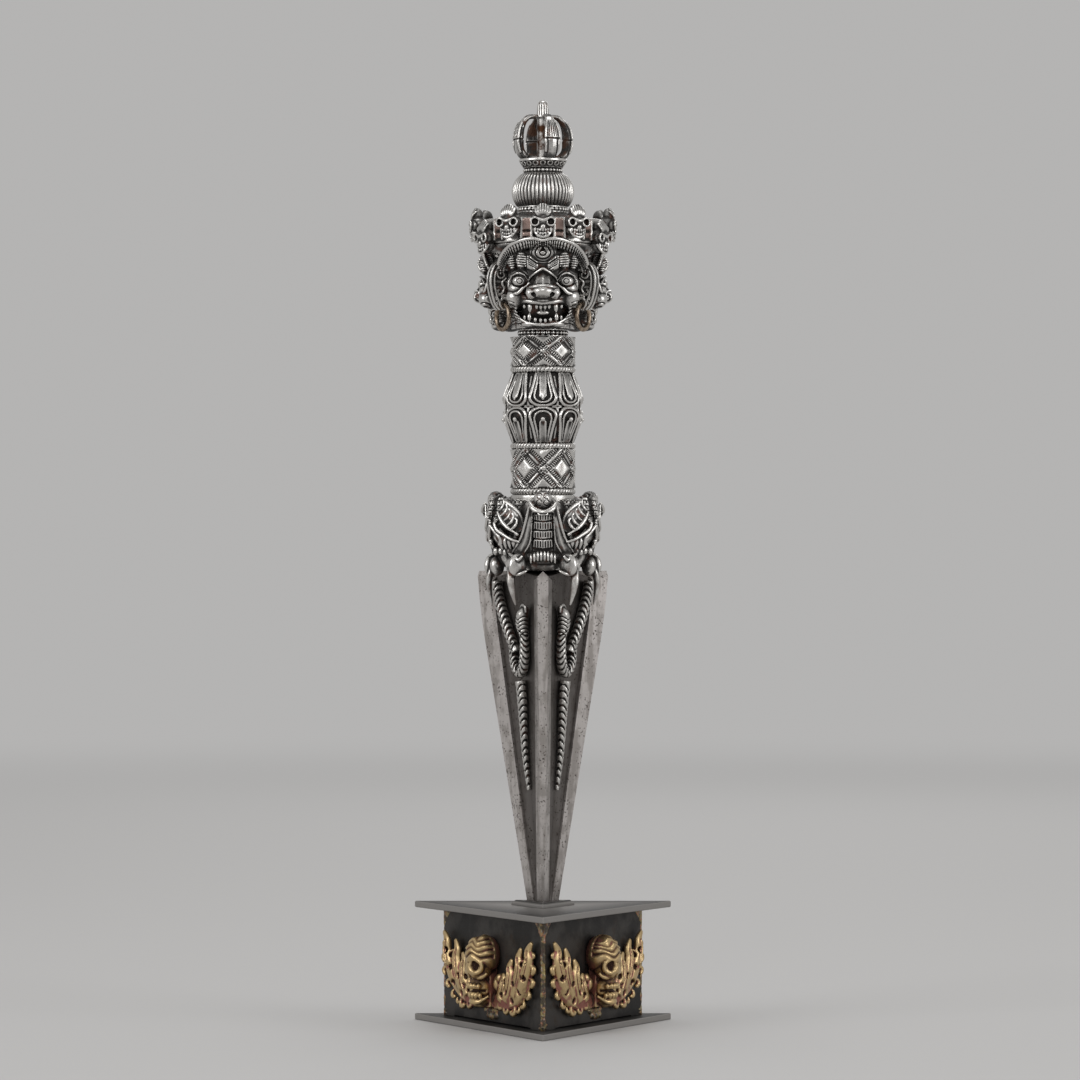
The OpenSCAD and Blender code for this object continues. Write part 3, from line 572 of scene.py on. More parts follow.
def brass_finish():
    f = Finish("cast_brass")
    cloud = f.noise(1.8, detail=4)
    grain = f.noise(0.4, detail=2)
    pink = f.noise(4.5, detail=3)
    rubbed = f.mark("fine") * 0.5 + f.mark("broad") * 0.62 - f.mark("sunk") * 0.25 + (cloud - 0.5) * 0.3
    shine = rubbed.step(0.42, 0.7)
    floor_share = (pink - 0.5) * 1.8 + 0.7 - rubbed * 1.3 + f.mark("deep") * 0.85
    colour = f.blend((0.25, 0.16, 0.08), (0.6, 0.44, 0.23), shine)
    colour = f.blend(colour, (0.38, 0.155, 0.13), floor_share.step(0.3, 0.6) * 0.85)
    colour = f.blend(colour, (0.035, 0.024, 0.018), (1 - rubbed.step(0.12, 0.36)) * 0.9)
    rough = (0.56 - shine * 0.2 + (grain - 0.5) * 0.15).clamp()
    return f.finish(colour, rough, grain, 0.03, metallic=0.9)


def steel_finish():
    f = Finish("blade_steel")
    scratch = f.noise(0.5, detail=3, stretch=(1, 1, 0.03))
    cloud = f.noise(5, detail=5, rough=0.6)
    pit = f.noise(0.75, detail=1)
    patch = f.noise(6, detail=2)
    streak = f.noise(2.5, detail=2, stretch=(1, 1, 0.08))
    dark = f.mark("groove")
    pits = (pit + (patch - 0.5) * 0.35).step(0.645, 0.69)
    colour = f.blend((0.4, 0.37, 0.35), (0.6, 0.565, 0.545), (cloud + streak - 0.5).step(0.36, 0.62))
    # Painted shade: the web and the groove floors, marked by `groove`, are painted near black.
    colour = f.blend(colour, (0.075, 0.066, 0.06), dark * 0.85)
    colour = f.blend(colour, (0.05, 0.038, 0.03), pits * 0.8)
    rough = (0.36 + (scratch - 0.5) * 0.22 + (cloud - 0.5) * 0.12 + dark * 0.15 + pits * 0.3).clamp()
    return f.finish(colour, rough, scratch * 0.6 - pits * 2.5, 0.02)


def wire_finish():
    f = Finish("ring_wire")
    cloud = f.noise(1.4, detail=3)
    colour = f.blend((0.2, 0.15, 0.11), (0.43, 0.35, 0.27), cloud.step(0.35, 0.62))
    return f.finish(colour, (0.34 + (cloud - 0.5) * 0.3).clamp(), cloud, 0.03)


plate_grey = plate_finish()
iron = iron_finish()
braze = braze_finish()
brass = brass_finish()
steel = steel_finish()
wire = wire_finish()
dark_silver = silver_finish("darkened_silver", bright=(0.6, 0.585, 0.56), rub=-0.04, gloss=0.28)
print("finishes:", [m.name for m in (plate_grey, iron, braze, brass, steel, wire, dark_silver)])


# %% [markdown]
# The plates.
#
# Base plate and top plate are three-cornered sheets with filed edges. Sheet edges catch the light as
# a thin pale line, and a modelled corner has none unless it is rounded, so each plate gets a small
# bevel. The `edge` mark is 1 on the rounded strips and 0 on the flats, and the finish paints those
# strips lighter: partly wear, and partly a painted highlight along the edge. The top plate has a
# three-cornered mouth for the blade, cut with the Boolean modifier, and the collar is a small raised
# rim round the same mouth.

# %% Three-cornered plates with worn edges and a painted highlight
def three_cornered(bm, side, low, high):
    """A three-sided prism whose corner points to the front."""
    disc(bm, (0, 0, (low + high) / 2), side / math.sqrt(3), high - low, (0, 0, 180), sides=3)


def mark_edges(mesh, sharp=0.45):
    """Marks the points next to a turn of the surface sharper than some radians, to be painted
    lighter, partly as wear and partly as a highlight.
    """
    bm = bmesh.new()
    bm.from_mesh(mesh)
    layer = bm.verts.layers.float.new("edge")
    for vert in bm.verts:
        turns = [edge.calc_face_angle(0) for edge in vert.link_edges]
        vert[layer] = 1.0 if max(turns, default=0) > sharp else 0.0
    bm.to_mesh(mesh)
    bm.free()


def soften_edges(bm, width, angle=25, segments=2):
    """Rounds every edge that is sharper than an angle."""
    sharp = [e for e in bm.edges if e.calc_face_angle(0) > math.radians(angle)]
    bmesh.ops.bevel(bm, geom=sharp, offset=width, affect="EDGES", segments=segments, profile=0.5,
                    material=-1, clamp_overlap=True)


def plain_piece(name, bm, body, nodes, material):
    """A made-up bmesh as a finished piece with its edges marked."""
    bmesh.ops.recalc_face_normals(bm, faces=bm.faces)
    mesh = mesh_of(bm, name)
    mark_edges(mesh)
    finish_piece(name, mesh, body, nodes, material, flat=True)


def cut_through(bm, at, facing):
    """Cuts new edges into everything along a plane, and takes nothing away."""
    bmesh.ops.bisect_plane(bm, geom=bm.verts[:] + bm.edges[:] + bm.faces[:], plane_co=at,
                           plane_no=facing)


# %% Base plate, top plate and collar
base_low, base_high = heights("stand_base_plate")
top_low, top_high = heights("stand_top_plate")
collar_low, collar_high = heights("socket_collar")
PLATE_SIDE = low_high("stand_base_plate")[1].x * 2
COLLAR_SIDE = low_high("socket_collar")[1].x * 2
MOUTH_R = 8.4
EDGE_BEVEL, COLLAR_BEVEL, COLLAR_EDGE = 0.35, 0.9, 0.18


def cut_mouth(bm, low, high):
    """Cuts the three-cornered mouth of the socket down through a plate."""
    tool = bmesh.new()
    disc(tool, (0, 0, (low + high) / 2), MOUTH_R, high - low + 4, (0, 0, 180), sides=3)
    soften_edges(tool, 0.8, segments=3)
    sheet, cutter = (in_scene("shape", mesh_of(shape, "shape")) for shape in (bm, tool))
    cut = sheet.modifiers.new("cut", "BOOLEAN")
    cut.operation = "DIFFERENCE"
    cut.object = cutter
    cut.solver = "EXACT"
    out = bmesh.new()
    out.from_mesh(applied(sheet))
    bpy.data.objects.remove(cutter)
    return out


plate = bmesh.new()
three_cornered(plate, PLATE_SIDE, base_low, base_high)
soften_edges(plate, EDGE_BEVEL)
plain_piece("base_plate", plate, "stand", ["stand_base_plate"], plate_grey)

plate = bmesh.new()
three_cornered(plate, PLATE_SIDE, top_low, top_high)
soften_edges(plate, EDGE_BEVEL)
plate = cut_mouth(plate, top_low, top_high)
plain_piece("top_plate", plate, "stand", ["stand_top_plate"], plate_grey)

collar = bmesh.new()
three_cornered(collar, COLLAR_SIDE, collar_low, collar_high)
upper = [e for e in collar.edges if all(v.co.z > collar_high - 0.01 for v in e.verts)]
bmesh.ops.bevel(collar, geom=upper, offset=COLLAR_BEVEL, affect="EDGES", segments=1, profile=0.5,
                material=-1)
soften_edges(collar, COLLAR_EDGE)
collar = cut_mouth(collar, collar_low, collar_high)
plain_piece("socket_collar", collar, "stand", ["socket_collar"], plate_grey)

# %% [markdown]
# The walls and the brazed corners.
#
# Each wall is one sheet of black iron with a slit under it, where it was cut away between two feet.
# The walls meet in a seam that was filled with brass and filed, but not cleaned up: the filling
# swells and sags a little, and at the top it spreads over both walls as a patch. A low patch of it
# also shows in the middle of each wall, under the skull. The wall is a plain sheet whose slit is cut
# by moving the lower edge up. The seam is a thin column of wax lumps whose sizes come from a slow
# wave, cast like the silver.

# %% Walls with their slits
wall_low, wall_high = heights("stand_wall_1")
BOX_SIDE = 70.0
BOX_IN = BOX_SIDE / (2 * math.sqrt(3))
WALL_T = 1.5
SLIT_H = 0.7


def wall_sheet(i, seam=1.2, foot=7.0):
    """One wall: a sheet, cut into three along its length, whose middle is lifted off the plate."""
    bm = bmesh.new()
    width = BOX_SIDE - 2 * seam
    block(bm, (0, -BOX_IN + WALL_T / 2, (wall_low + wall_high) / 2),
          (width, WALL_T, wall_high - wall_low))
    for side in (-1, 1):
        for slope in (0, 0.5):
            cut_through(bm, (side * (width / 2 - foot - slope), 0, 0), (1, 0, 0))
    for vert in bm.verts:
        if vert.co.z < wall_low + 0.01 and abs(vert.co.x) < width / 2 - foot - 0.2:
            vert.co.z += SLIT_H
    soften_edges(bm, 0.12, angle=40)
    put(bm, bm.verts, turn=(0, 0, 60 + 120 * i))
    plain_piece(f"wall_{i + 1}", bm, "stand", [f"stand_wall_{i + 1}"], iron)


for i in range(3):
    wall_sheet(i)

# %% Brazed seams
wax = bmesh.new()
CORNER = BOX_SIDE / math.sqrt(3)
SEAM_STEPS = 46
THIRDS = [polar(120 * i - 90) for i in range(3)]
for i, (x, y) in enumerate(THIRDS):
    out, along = Vector((x, y, 0)), Vector((-y, x, 0))
    for k in range(SEAM_STEPS):
        z = wall_low + 0.4 + (wall_high - wall_low - 0.8) * k / (SEAM_STEPS - 1)
        swell = 1.0 + 0.09 * math.sin(k * 0.9 + i) + 0.07 * math.sin(k * 2.3 + 2 * i)
        lump(wax, out * (CORNER - 1.55) + Vector((0, 0, z)), (swell, swell, 0.9), detail=2)
    for row in range(8):
        for reach in np.arange(0.9, 5.6 - 0.62 * row, 0.75):
            for side in (-1, 1):
                spot = out * (CORNER - 0.866 * reach - 0.35) + along * side * (0.5 * reach - 0.12)
                drop = Vector((0, 0, wall_high - 0.4 - 0.7 * row))
                lump(wax, spot + drop, (0.62, 0.62, 0.6), detail=1)
                if row < 2 and reach < 3:
                    rise = Vector((0, 0, wall_low + 0.8 + 1.2 * row))
                    lump(wax, spot + rise, (0.62, 0.62, 0.6), detail=1)
    middle = -out * (BOX_IN - 0.9)
    for k in range(5):
        for row in range(2 if k < 4 else 1):
            level = Vector((0, 0, wall_low + 4.6 - 2 * row - 0.2 * (k % 3)))
            lump(wax, middle + along * (1.7 * k - 3.4) + level, (1.9, 1.45, 1.6), detail=2)
seam = Casting(wax, grain=0.3, soften=3)
finish_piece("brazed_seams", seam.mark(), "stand", ["stand_brazing"], braze)


# %% [markdown]
# The blade.
#
# Three fins at 120 degrees, each with a ground edge: a narrow nose, two flanks, a step and then the
# thinner web. The web and the floor of each groove are painted near black as shade. The section
# shrinks evenly towards the point, so one outline is drawn for the top and extruded downwards ring by
# ring, and every ring is set to its own outline.
# The tops of the fins are filed to a little roof. The long edges get a small bevel, because a ground
# edge is never quite sharp and its bright line is what shows the shape of the blade.

# %% The blade's outline at any height
blade_low = low_high("blade")[0]
TIP_Z = blade_low.z
BLADE_TOP = heights("makara_core")[0]
FIN_REACH = -blade_low.y
BLADE_LEN = BLADE_TOP - TIP_Z
FIN_ROUND, FIN_ROUND_LEN = 1.5, 24
FOOT_R = 6
ROOF_FROM, ROOF_H = 10.5, 3.3


def ridge_r(z):
    """Distance from the axis to the ridge of a fin at a height."""
    h = z - TIP_Z
    near_top = max(0, h - BLADE_LEN + FIN_ROUND_LEN) / FIN_ROUND_LEN
    return (FIN_REACH + FIN_ROUND) * h / BLADE_LEN - FIN_ROUND * near_top ** 2


def mix(a, b, t):
    return a + (b - a) * t


def fin_half(r):
    """Half a fin's outline, from the ridge to the floor of the groove, as reach, width and mark."""
    t = min(1, max(0, (r - FOOT_R) / (FIN_REACH - FOOT_R)))
    size = r / max(r, FOOT_R)
    s = max(r, FOOT_R)
    nose, edge, web = mix(0.5, 1.86, t), mix(2.1, 3.1, t), mix(1.7, 1.9, t)
    depth, step, floor = mix(3.6, 7.4, t), mix(0.4, 0.9, t), 0.36 * s
    # The last number of each row marks painted shade: near black on the web and the groove floor.
    rows = [(s, 0, 0), (s - nose * 0.25, nose, 0), (s - depth, edge, 0), (s - depth - step, web, 0.9),
            (floor * 0.5, floor * math.sin(math.pi / 3), 1)]
    return [(size * reach, size * width, mark) for reach, width, mark in rows]


def blade_ring(z):
    """All points of the outline at a height, with their marks, anticlockwise from the front fin."""
    half = fin_half(ridge_r(z))
    fin = [(reach, -width, mark) for reach, width, mark in half[:0:-1]][1:] + half
    ring = []
    for cos, sin in THIRDS:
        for reach, width, mark in fin:
            place = Vector((reach * cos - width * sin, reach * sin + width * cos, z))
            ring.append((place, mark))
    return ring


def roof_drop(p):
    """How far the filed roof of a fin lies under its ridge."""
    drops = []
    for cos, sin in THIRDS:
        reach = p.x * cos + p.y * sin
        width = abs(p.y * cos - p.x * sin)
        if reach > ROOF_FROM:
            drops.append(min(width, ROOF_H))
    return max(drops, default=0)


# %% The blade, extruded ring by ring
bm = bmesh.new()
levels = [BLADE_TOP, *np.linspace(BLADE_TOP - 3.7, TIP_Z + 5, 22), TIP_Z + 1.2]
ring = blade_ring(levels[0])
# This layer carries the painted shade of the web and the groove floor.
groove = bm.verts.layers.float.new("groove")
verts = [bm.verts.new(p) for p, mark in ring]
edges = [bm.edges.new((a, b)) for a, b in zip(verts, verts[1:] + verts[:1])]
bmesh.ops.edgeloop_fill(bm, edges=edges)
for vert, (p, mark) in zip(verts, ring):
    vert[groove] = mark
for z in levels[1:]:
    fresh, edges = extruded(bm, edges)
    for vert, (p, mark) in zip(fresh, blade_ring(z)):
        vert.co = p
        vert[groove] = mark
bmesh.ops.edgeloop_fill(bm, edges=edges)
for cos, sin in THIRDS:
    cut_through(bm, (0, 0, 0), (-sin, cos, 0))
for vert in bm.verts:
    if vert.co.z > BLADE_TOP - 0.01:
        vert.co.z -= roof_drop(vert.co)
bmesh.ops.remove_doubles(bm, verts=bm.verts, dist=0.002)
soften_edges(bm, 0.22, angle=16)
bmesh.ops.recalc_face_normals(bm, faces=bm.faces)
finish_piece("blade_with_tang", mesh_of(bm, "blade"), "phurba", ["blade"], steel,
             flat=True)


# %% [markdown]
# The brass skulls on the stand.
#
# Each wall carries one casting: a skull that stands well out from the wall, with a wing of flame
# leaves to each side. A wing is a broad stem of flattened rolls, from which blunt flames rise and
# round curls hang. Grooves follow the flames, each curl is a roll bent into a hook, and a few holes
# are sunk where the flames part. The skull's brow is furrowed like water, its cheekbones are
# crescents under the sockets, and two rows of teeth are bared. The casting is made at the front,
# then turned to the middle of its wall. The `deep` mark tells the finish how near the wall a point
# lies.

# %% A skull with flame leaves
WALL_Y = -BOX_IN
STEM = [(4, 9.6), (11, 10.4), (18, 13), (24, 17.6), (27.6, 23.6)]
BRANCH = [(12, 12), (18.6, 16.4), (24.4, 22), (26.6, 25)]
FLAMES = [
    [(8.5, 11), (10.7, 14.4), (11.2, 17.6), (10.4, 20.2)],
    [(13, 11), (15.6, 16), (16.4, 20), (15.8, 22.6), (17.4, 25.4)],
    [(18, 13), (20.8, 18.6), (22, 23.4), (21.4, 26.2), (23, 29.6)],
    [(23, 15), (26.4, 20.6), (28.4, 25.4), (28.4, 29), (30.8, 32)]]
CURLS = [((30.2, 22.6), 2.3, -80), ((30, 18.2), 2.1, -100), ((27.6, 14), 2.1, -130),
         ((24, 10.6), 2.1, -150), ((17.6, 8), 2.5, -170), ((12.8, 8), 2.2, 170),
         ((20.8, 8.6), 1.7, -160), ((30.6, 27.4), 1.5, -60), ((8.8, 9.2), 2.1, 150),
         ((7.6, 14.6), 1.7, 40)]
HOLES = ((14.4, 14), (19.2, 17.2), (24.6, 19.8), (22.8, 14.6), (27, 19.6), (27.6, 25.6), (11.4, 12.6),
         (17.6, 11.2), (13.4, 17.6), (24.6, 24.2))


def on_wall(points, out):
    """Points of the wall's plane, some way out from it."""
    return [(x, WALL_Y - out, z) for x, z in points]


wax = bmesh.new()
both(roll, wax, on_wall(STEM, 1.0), [2.6, 3.4, 4.4, 4.6, 2.4], flat=0.36)
both(roll, wax, on_wall(BRANCH, 1.1), [2.4, 3.6, 3.6, 2.2], flat=0.42)
for k, flame in enumerate(FLAMES):
    both(roll, wax, on_wall(flame, 1.5 + 0.3 * (k % 2)), [2.3, 2.7, 2.5, 1.9, 0.7], flat=0.62, sides=10)
for (x, z), size, low in CURLS:
    hook = circle(x, z, size * 0.55, range(low, low + 250, 25))
    both(roll, wax, on_wall(hook, 1.5), [0.36 * size, 0.44 * size, 0.2 * size], steps=2)
lump(wax, (0, WALL_Y - 3.6, 25.9), (7.0, 6.2, 6.9), detail=4)
lump(wax, (0, WALL_Y - 5.2, 21.6), (5.6, 4.6, 4.6))
lump(wax, (0, WALL_Y - 4.4, 14.6), (4.2, 4.2, 4.4))
block(wax, (0, WALL_Y - 1.5, 15), (8, 3, 14))
lump(wax, (0, WALL_Y - 4.2, 10.4), (3.9, 4.2, 2.0))
pair(lump, wax, (6.4, WALL_Y - 1.4, 16.4), (1.6, 1.5, 2.6))
pair(lump, wax, (8.2, WALL_Y - 1.4, 18.4), (1.5, 1.4, 1.5))
for ring_r, out, thick, low, high in ((2.5, 0.0, 0.75, -200, 165), (4.3, -1.0, 0.75, -150, -20)):
    arc = [(2.85 + ring_r * across, WALL_Y - 9.2 - out + 0.30 * ring_r + 1.5 * max(0, across),
            22.2 + ring_r * 0.92 * up) for across, up in (polar(a) for a in range(low, high, 13))]
    both(roll, wax, arc, [thick * 0.7, thick, thick, thick * 0.7], steps=2)
for row_z, out in ((15.3, 8.7), (12.1, 8.1)):
    for k in range(6):
        x = (k - 2.5) * 1.4
        lump(wax, (x, WALL_Y - out + 0.12 * x * x, row_z), (0.7, 0.8, 1.05), detail=2)
both(roll, wax, [(0, WALL_Y - 7.8, 9.6), (3, WALL_Y - 6.6, 10), (4.6, WALL_Y - 3.8, 12)], [0.8, 0.7, 0.5])
skull = Casting(wax, grain=0.3, soften=2)
out = -skull.points[:, 1] + WALL_Y
skull.chase([[(x * 0.5, 26.0 + 2.0 * k + 0.8 * math.sin(x * 0.42 + 0.9 * k)) for x in range(-14, 15)]
             for k in range(4)], 1.15, -0.6, where=out > 3)
skull.chase(both_sides([(2.85, 22.3), (2.85, 22.2)]), 1.7, -2.2, where=out > 5, sharp=0.5)
skull.chase(both_sides([(0, 19.2), (0.75, 17.9)]), 0.6, -0.9, where=out > 5)
skull.chase([[(-3.8, 13.7), (3.8, 13.7)]], 0.75, -1.3, where=out > 4.5)
wing = (out > 0.8) & (out < 4.2) & (np.abs(skull.points[:, 0]) > 6)
grooves = []
for flame in FLAMES:
    for shift, start in ((-0.9, 8), (0.9, 4)):
        spots = [(x + shift * (1 - k / len(flame)), z) for k, (x, z) in enumerate(flame)]
        grooves += both_sides(smooth_line(spots, 6)[start:-6])
skull.chase(grooves, 0.5, -0.6, where=wing)
skull.chase(both_sides(*([hole] * 2 for hole in HOLES)), 1.25, -2.0, where=wing, sharp=0.6)
skull.points[:, 1] = np.minimum(skull.points[:, 1], WALL_Y - 0.02)
skull.write()
skull.store("deep", 1 - (WALL_Y - skull.points[:, 1]) / 5.5)
mesh = skull.mark(0.05, 0.4, skull.sunk(skull.points[:, 0], -skull.points[:, 1]))
mesh.transform(Matrix.Rotation(math.radians(60), 4, "Z"))
three_times("skull_ornament", mesh, "stand", brass)


# %% [markdown]
# Rope rings, knots and lotuses: the grip.
#
# Everything on the grip runs round the axis, so these pieces are laid out by angle and height. A rope
# ring is two strands twisted round one circle. A knot is a barrel wrapped in ribbons that cross, with
# a faceted boss in each gap; the ribbons have milled edges, cords with notches across them. A lotus is a
# short cone whose eight petals turn in at their tips. Each petal has two raised rims, one inside the
# other, and a flat strip up its middle. It is rolled in wax on the cone, cast, and then the high
# places are turned off to one outline, as on a lathe, which is what makes them flat and bright. Only
# the beads that end the strips of the upward petals are left round.

# %% Places round the axis
def around(angle, r, z):
    """A point at an angle in degrees, counted from the front, and at a radius and height."""
    a = math.radians(angle)
    return (r * math.sin(a), -r * math.cos(a), z)


def sleeve(bm, low, high, low_r, high_r, sides=72):
    """A plain cone or cylinder round the axis."""
    disc(bm, (0, 0, (low + high) / 2), low_r, high - low, top=high_r, sides=sides)


# %% Rope rings
def rope_ring(node, turns=26):
    low, high = heights(node)
    strand_r = (high - low) * 0.31
    middle_r = low_high(node)[1].x - (high - low) * 0.5
    wax = bmesh.new()
    sleeve(wax, low + 0.05, high - 0.05, middle_r - 0.2, middle_r - 0.2)
    for strand in (0, 180):
        path = []
        for k in range(turns * 6 + 1):
            outward, upward = polar(60 * k + strand, 0.52 * strand_r * 1.6)
            path.append(around(k * 60 / turns, middle_r + outward, (low + high) / 2 + upward))
        roll(wax, path, strand_r * 0.92, up=None, sides=6, steps=2)
    ring = Casting(wax, grain=0.22, soften=1)
    ring.trim(low, high)
    silver_piece(node, ring)


for node in ("rope_ring_lower", "rope_ring_middle", "rope_ring_upper"):
    rope_ring(node)


# %% Knots
def knot(node, ribbons=5, barrel_r=9.9, half_w=1.55):
    """A barrel with ribbons that climb it both ways, each laid in halves over and under the others."""
    low, high = heights(node)
    tall, middle = high - low, (low + high) / 2
    climb = 360 / ribbons
    slope = math.atan2(tall, math.radians(climb) * barrel_r)
    flat_share, steep_share = math.cos(slope), math.sin(slope)
    length = tall / 2 / steep_share
    wax = bmesh.new()
    sleeve(wax, low, high, barrel_r, barrel_r)
    for k in range(2 * ribbons):
        facet = bmesh.ops.create_cone(wax, cap_ends=True, segments=4, radius1=1, radius2=0.5,
                                      depth=1)["verts"]
        place = around(climb * k / 2, barrel_r + 0.35, middle if k % 2 else low)
        put(wax, facet, place, (5.4, 0.44 * tall, 1.9), (90, 0, climb * k / 2))
        if not k % 2:
            faces = list({f for v in facet for f in v.link_faces})
            copy = bmesh.ops.duplicate(wax, geom=faces)["geom"]
            bmesh.ops.translate(wax, vec=(0, 0, tall),
                                verts=[g for g in copy if isinstance(g, bmesh.types.BMVert)])
    notches = []
    spots = np.linspace(-0.56, 0.56, 8)
    for lean, k, half in itertools.product((-1, 1), range(ribbons), (-1, 1)):
        angle = climb * k + lean * half * climb / 4
        height = middle + half * tall / 4
        over = 0.32 * lean * half
        fold = [around(angle + lean * math.degrees(t * length * flat_share / barrel_r),
                       barrel_r + 0.25 + over, height + t * length * steep_share)
                for t in np.linspace(-0.56, 0.56, 5)]
        roll(wax, fold, half_w * 1.05, flat=0.46, up=None, sides=4, steps=2)
        for side in (-1, 1):
            edge = []
            for t in spots:
                run, rise = length * t, side * half_w * 0.94
                across = lean * run * flat_share - lean * rise * steep_share
                edge.append((angle + math.degrees(across / barrel_r),
                             height + run * steep_share + rise * flat_share))
            roll(wax, [around(a, barrel_r + 0.6 + over, z) for a, z in edge], 0.46, up=None, sides=6,
                 steps=2)
            angles, levels = zip(*edge)
            for t in np.arange(-0.5, 0.5, 0.72 / length):
                a, z = np.interp(t, spots, angles), np.interp(t, spots, levels)
                x = math.radians((a + 180) % 360 - 180) * barrel_r
                aside, rise = 0.5 * lean * steep_share, 0.5 * flat_share
                notches.append([(x - aside, z + rise), (x + aside, z - rise)])
    barrel = Casting(wax, grain=0.22, soften=1)
    barrel.chase(notches, 0.28, -0.42, where=barrel.reach() > barrel_r + 0.5, round_at=barrel_r)
    barrel.trim(low, high)
    silver_piece(node, barrel)


knot("lower_knot")
knot("upper_knot")


# %% Lotuses
OUTLINE = [(0, 0), (0.6, 0.83), (0.75, 1), (0.87, 0.95), (1, 0.66)]


def lotus(node, wide_up, petals=8):
    """A lotus whose petals open upwards or downwards. s runs from the narrow end to the wide one."""
    low, high = heights(node)
    tall = high - low
    wide_r = low_high(node)[1].x
    narrow_r = 10.3
    wax = bmesh.new()

    def cone_r(s):
        return narrow_r + (wide_r - 0.75 - narrow_r) * np.interp(s, *zip(*OUTLINE))

    def surface(angle, s, lift=0.0):
        return around(angle, cone_r(s) + lift, low + tall * s if wide_up else high - tall * s)

    for s, t in zip(np.linspace(0, 0.95, 20), np.linspace(0.05, 1, 20)):
        ends = sorted(((surface(0, s)[2], cone_r(s) - 0.85), (surface(0, t)[2], cone_r(t) - 0.85)))
        sleeve(wax, ends[0][0], ends[1][0], ends[0][1], ends[1][1])
    rim = [(0.62, 0.0), (0.82, 0.4), (0.97, 0.66), (1, 0.78), (0.84, 0.9), (0.45, 0.98), (0, 1)]
    for k in range(petals):
        turn = 360 / petals * k
        for half, tip, thick in ((19.3, 0.97, 0.56), (12.6, 0.87, 0.4)):
            path = [(-x, s) for x, s in rim] + rim[-2::-1]
            roll(wax, [surface(turn + half * x, tip * s, -0.1) for x, s in path], thick, flat=1.3, up=None,
                 sides=6, steps=4)
        end = 0.62 if wide_up else 0.74
        strip = [surface(turn, s, -0.1) for s in (0.0, 0.3, end - 0.06, end)]
        roll(wax, strip, [1.15, 1.3, 1.35, 0.8], flat=0.75, up=None, sides=12, steps=4)
        lump(wax, surface(turn, end + 0.03, 0.25), 0.85 if wide_up else 0.5, detail=2)
        star = turn + 180 / petals
        roll(wax, [surface(star, s, -0.25) for s in (0.78, 0.9, 1.0)], [0.15, 0.5, 0.95], up=None,
             sides=6)
        roll(wax, [surface(star + a, 0.985, 0.1) for a in (-9, 0, 9)], [0.15, 0.6, 0.15], up=None,
             sides=6)
        roll(wax, [surface(star, s, -0.75) for s in (0.1, 0.4, 0.7)], [0.4, 0.5, 0.2], up=None)
    cup = Casting(wax, grain=0.23, soften=1)
    share = (cup.points[:, 2] - low) / tall
    s = share if wide_up else 1 - share
    turned = np.minimum(1, (cone_r(s) + 0.42) / np.maximum(cup.reach(), 1))
    bead = wide_up & (np.abs(s - 0.65) < 0.07)
    cup.points[:, :2] *= np.where(bead, 1, turned)[:, None]
    cup.trim(low, high)
    silver_piece(node, cup)


lotus("lotus_lower", True)
lotus("lotus_upper", False)


# %% [markdown]
# The three wrathful heads.
#
# One head fills a third of the circle, so it is modelled once, looking to the front, and turned three
# times. The big forms come first: forehead, cheeks, jaw, and the arch of hair that frames the face.
# Then come the eyes, the heavy nose, the lips as thick rolls round a mouth that stays hollow, and the
# teeth. The brows and the third eye are low lumps that get their lines by chasing, and the strands of
# the hair, the whiskers and the beard are only chased, as on the real one. Last, the casting is
# cleared where the ear ring hangs, and pressed flat where it meets its neighbours.

# %% Pressed between its neighbours
NECK_Z = heights("head_1")[0]
LOBE_R = sum(corner.y for corner in low_high("ear_ring_2")) / 2
SEAM_GAP = 0.1


def seam_axes(side):
    """Directions along the right (1) or left (-1) seam to a neighbour, and past it."""
    cos, sin = polar(60)
    return np.array([side * sin, -cos, 0]), np.array([side * cos, sin, 0])


def beside(points, side):
    """Each point's reach along a seam, and its distance past it."""
    along, past = seam_axes(side)
    return points @ along, points @ past


def press_third(cast, gap=SEAM_GAP):
    """Presses a casting into the third of the circle at the front."""
    for side in (-1, 1, -1, 1):
        over = beside(cast.points, side)[1]
        cast.points -= np.maximum(over + gap, 0)[:, None] * seam_axes(side)[1]
    cast.write()


def clear_ring_room(cast, rooms):
    """Moves points out of the rooms in which an ear ring hangs and swings."""
    for side in (-1, 1):
        for half, reach_most, top in rooms:
            reach, over = beside(cast.points, side)
            inside = (np.abs(over) < half) & (cast.points[:, 2] < top)
            cast.points -= (np.maximum(reach - reach_most, 0) * inside)[:, None] * seam_axes(side)[0]
    cast.write()


# %% Forms of the head
HAIR = [(15.4, -13.2, 21.5), (14.6, -14.6, 23.9), (13.2, -16.4, 26.2), (10.6, -19.2, 28.3),
        (6.4, -22, 29.7), (3, -23.4, 29.9), (0, -23.9, 29.2)]


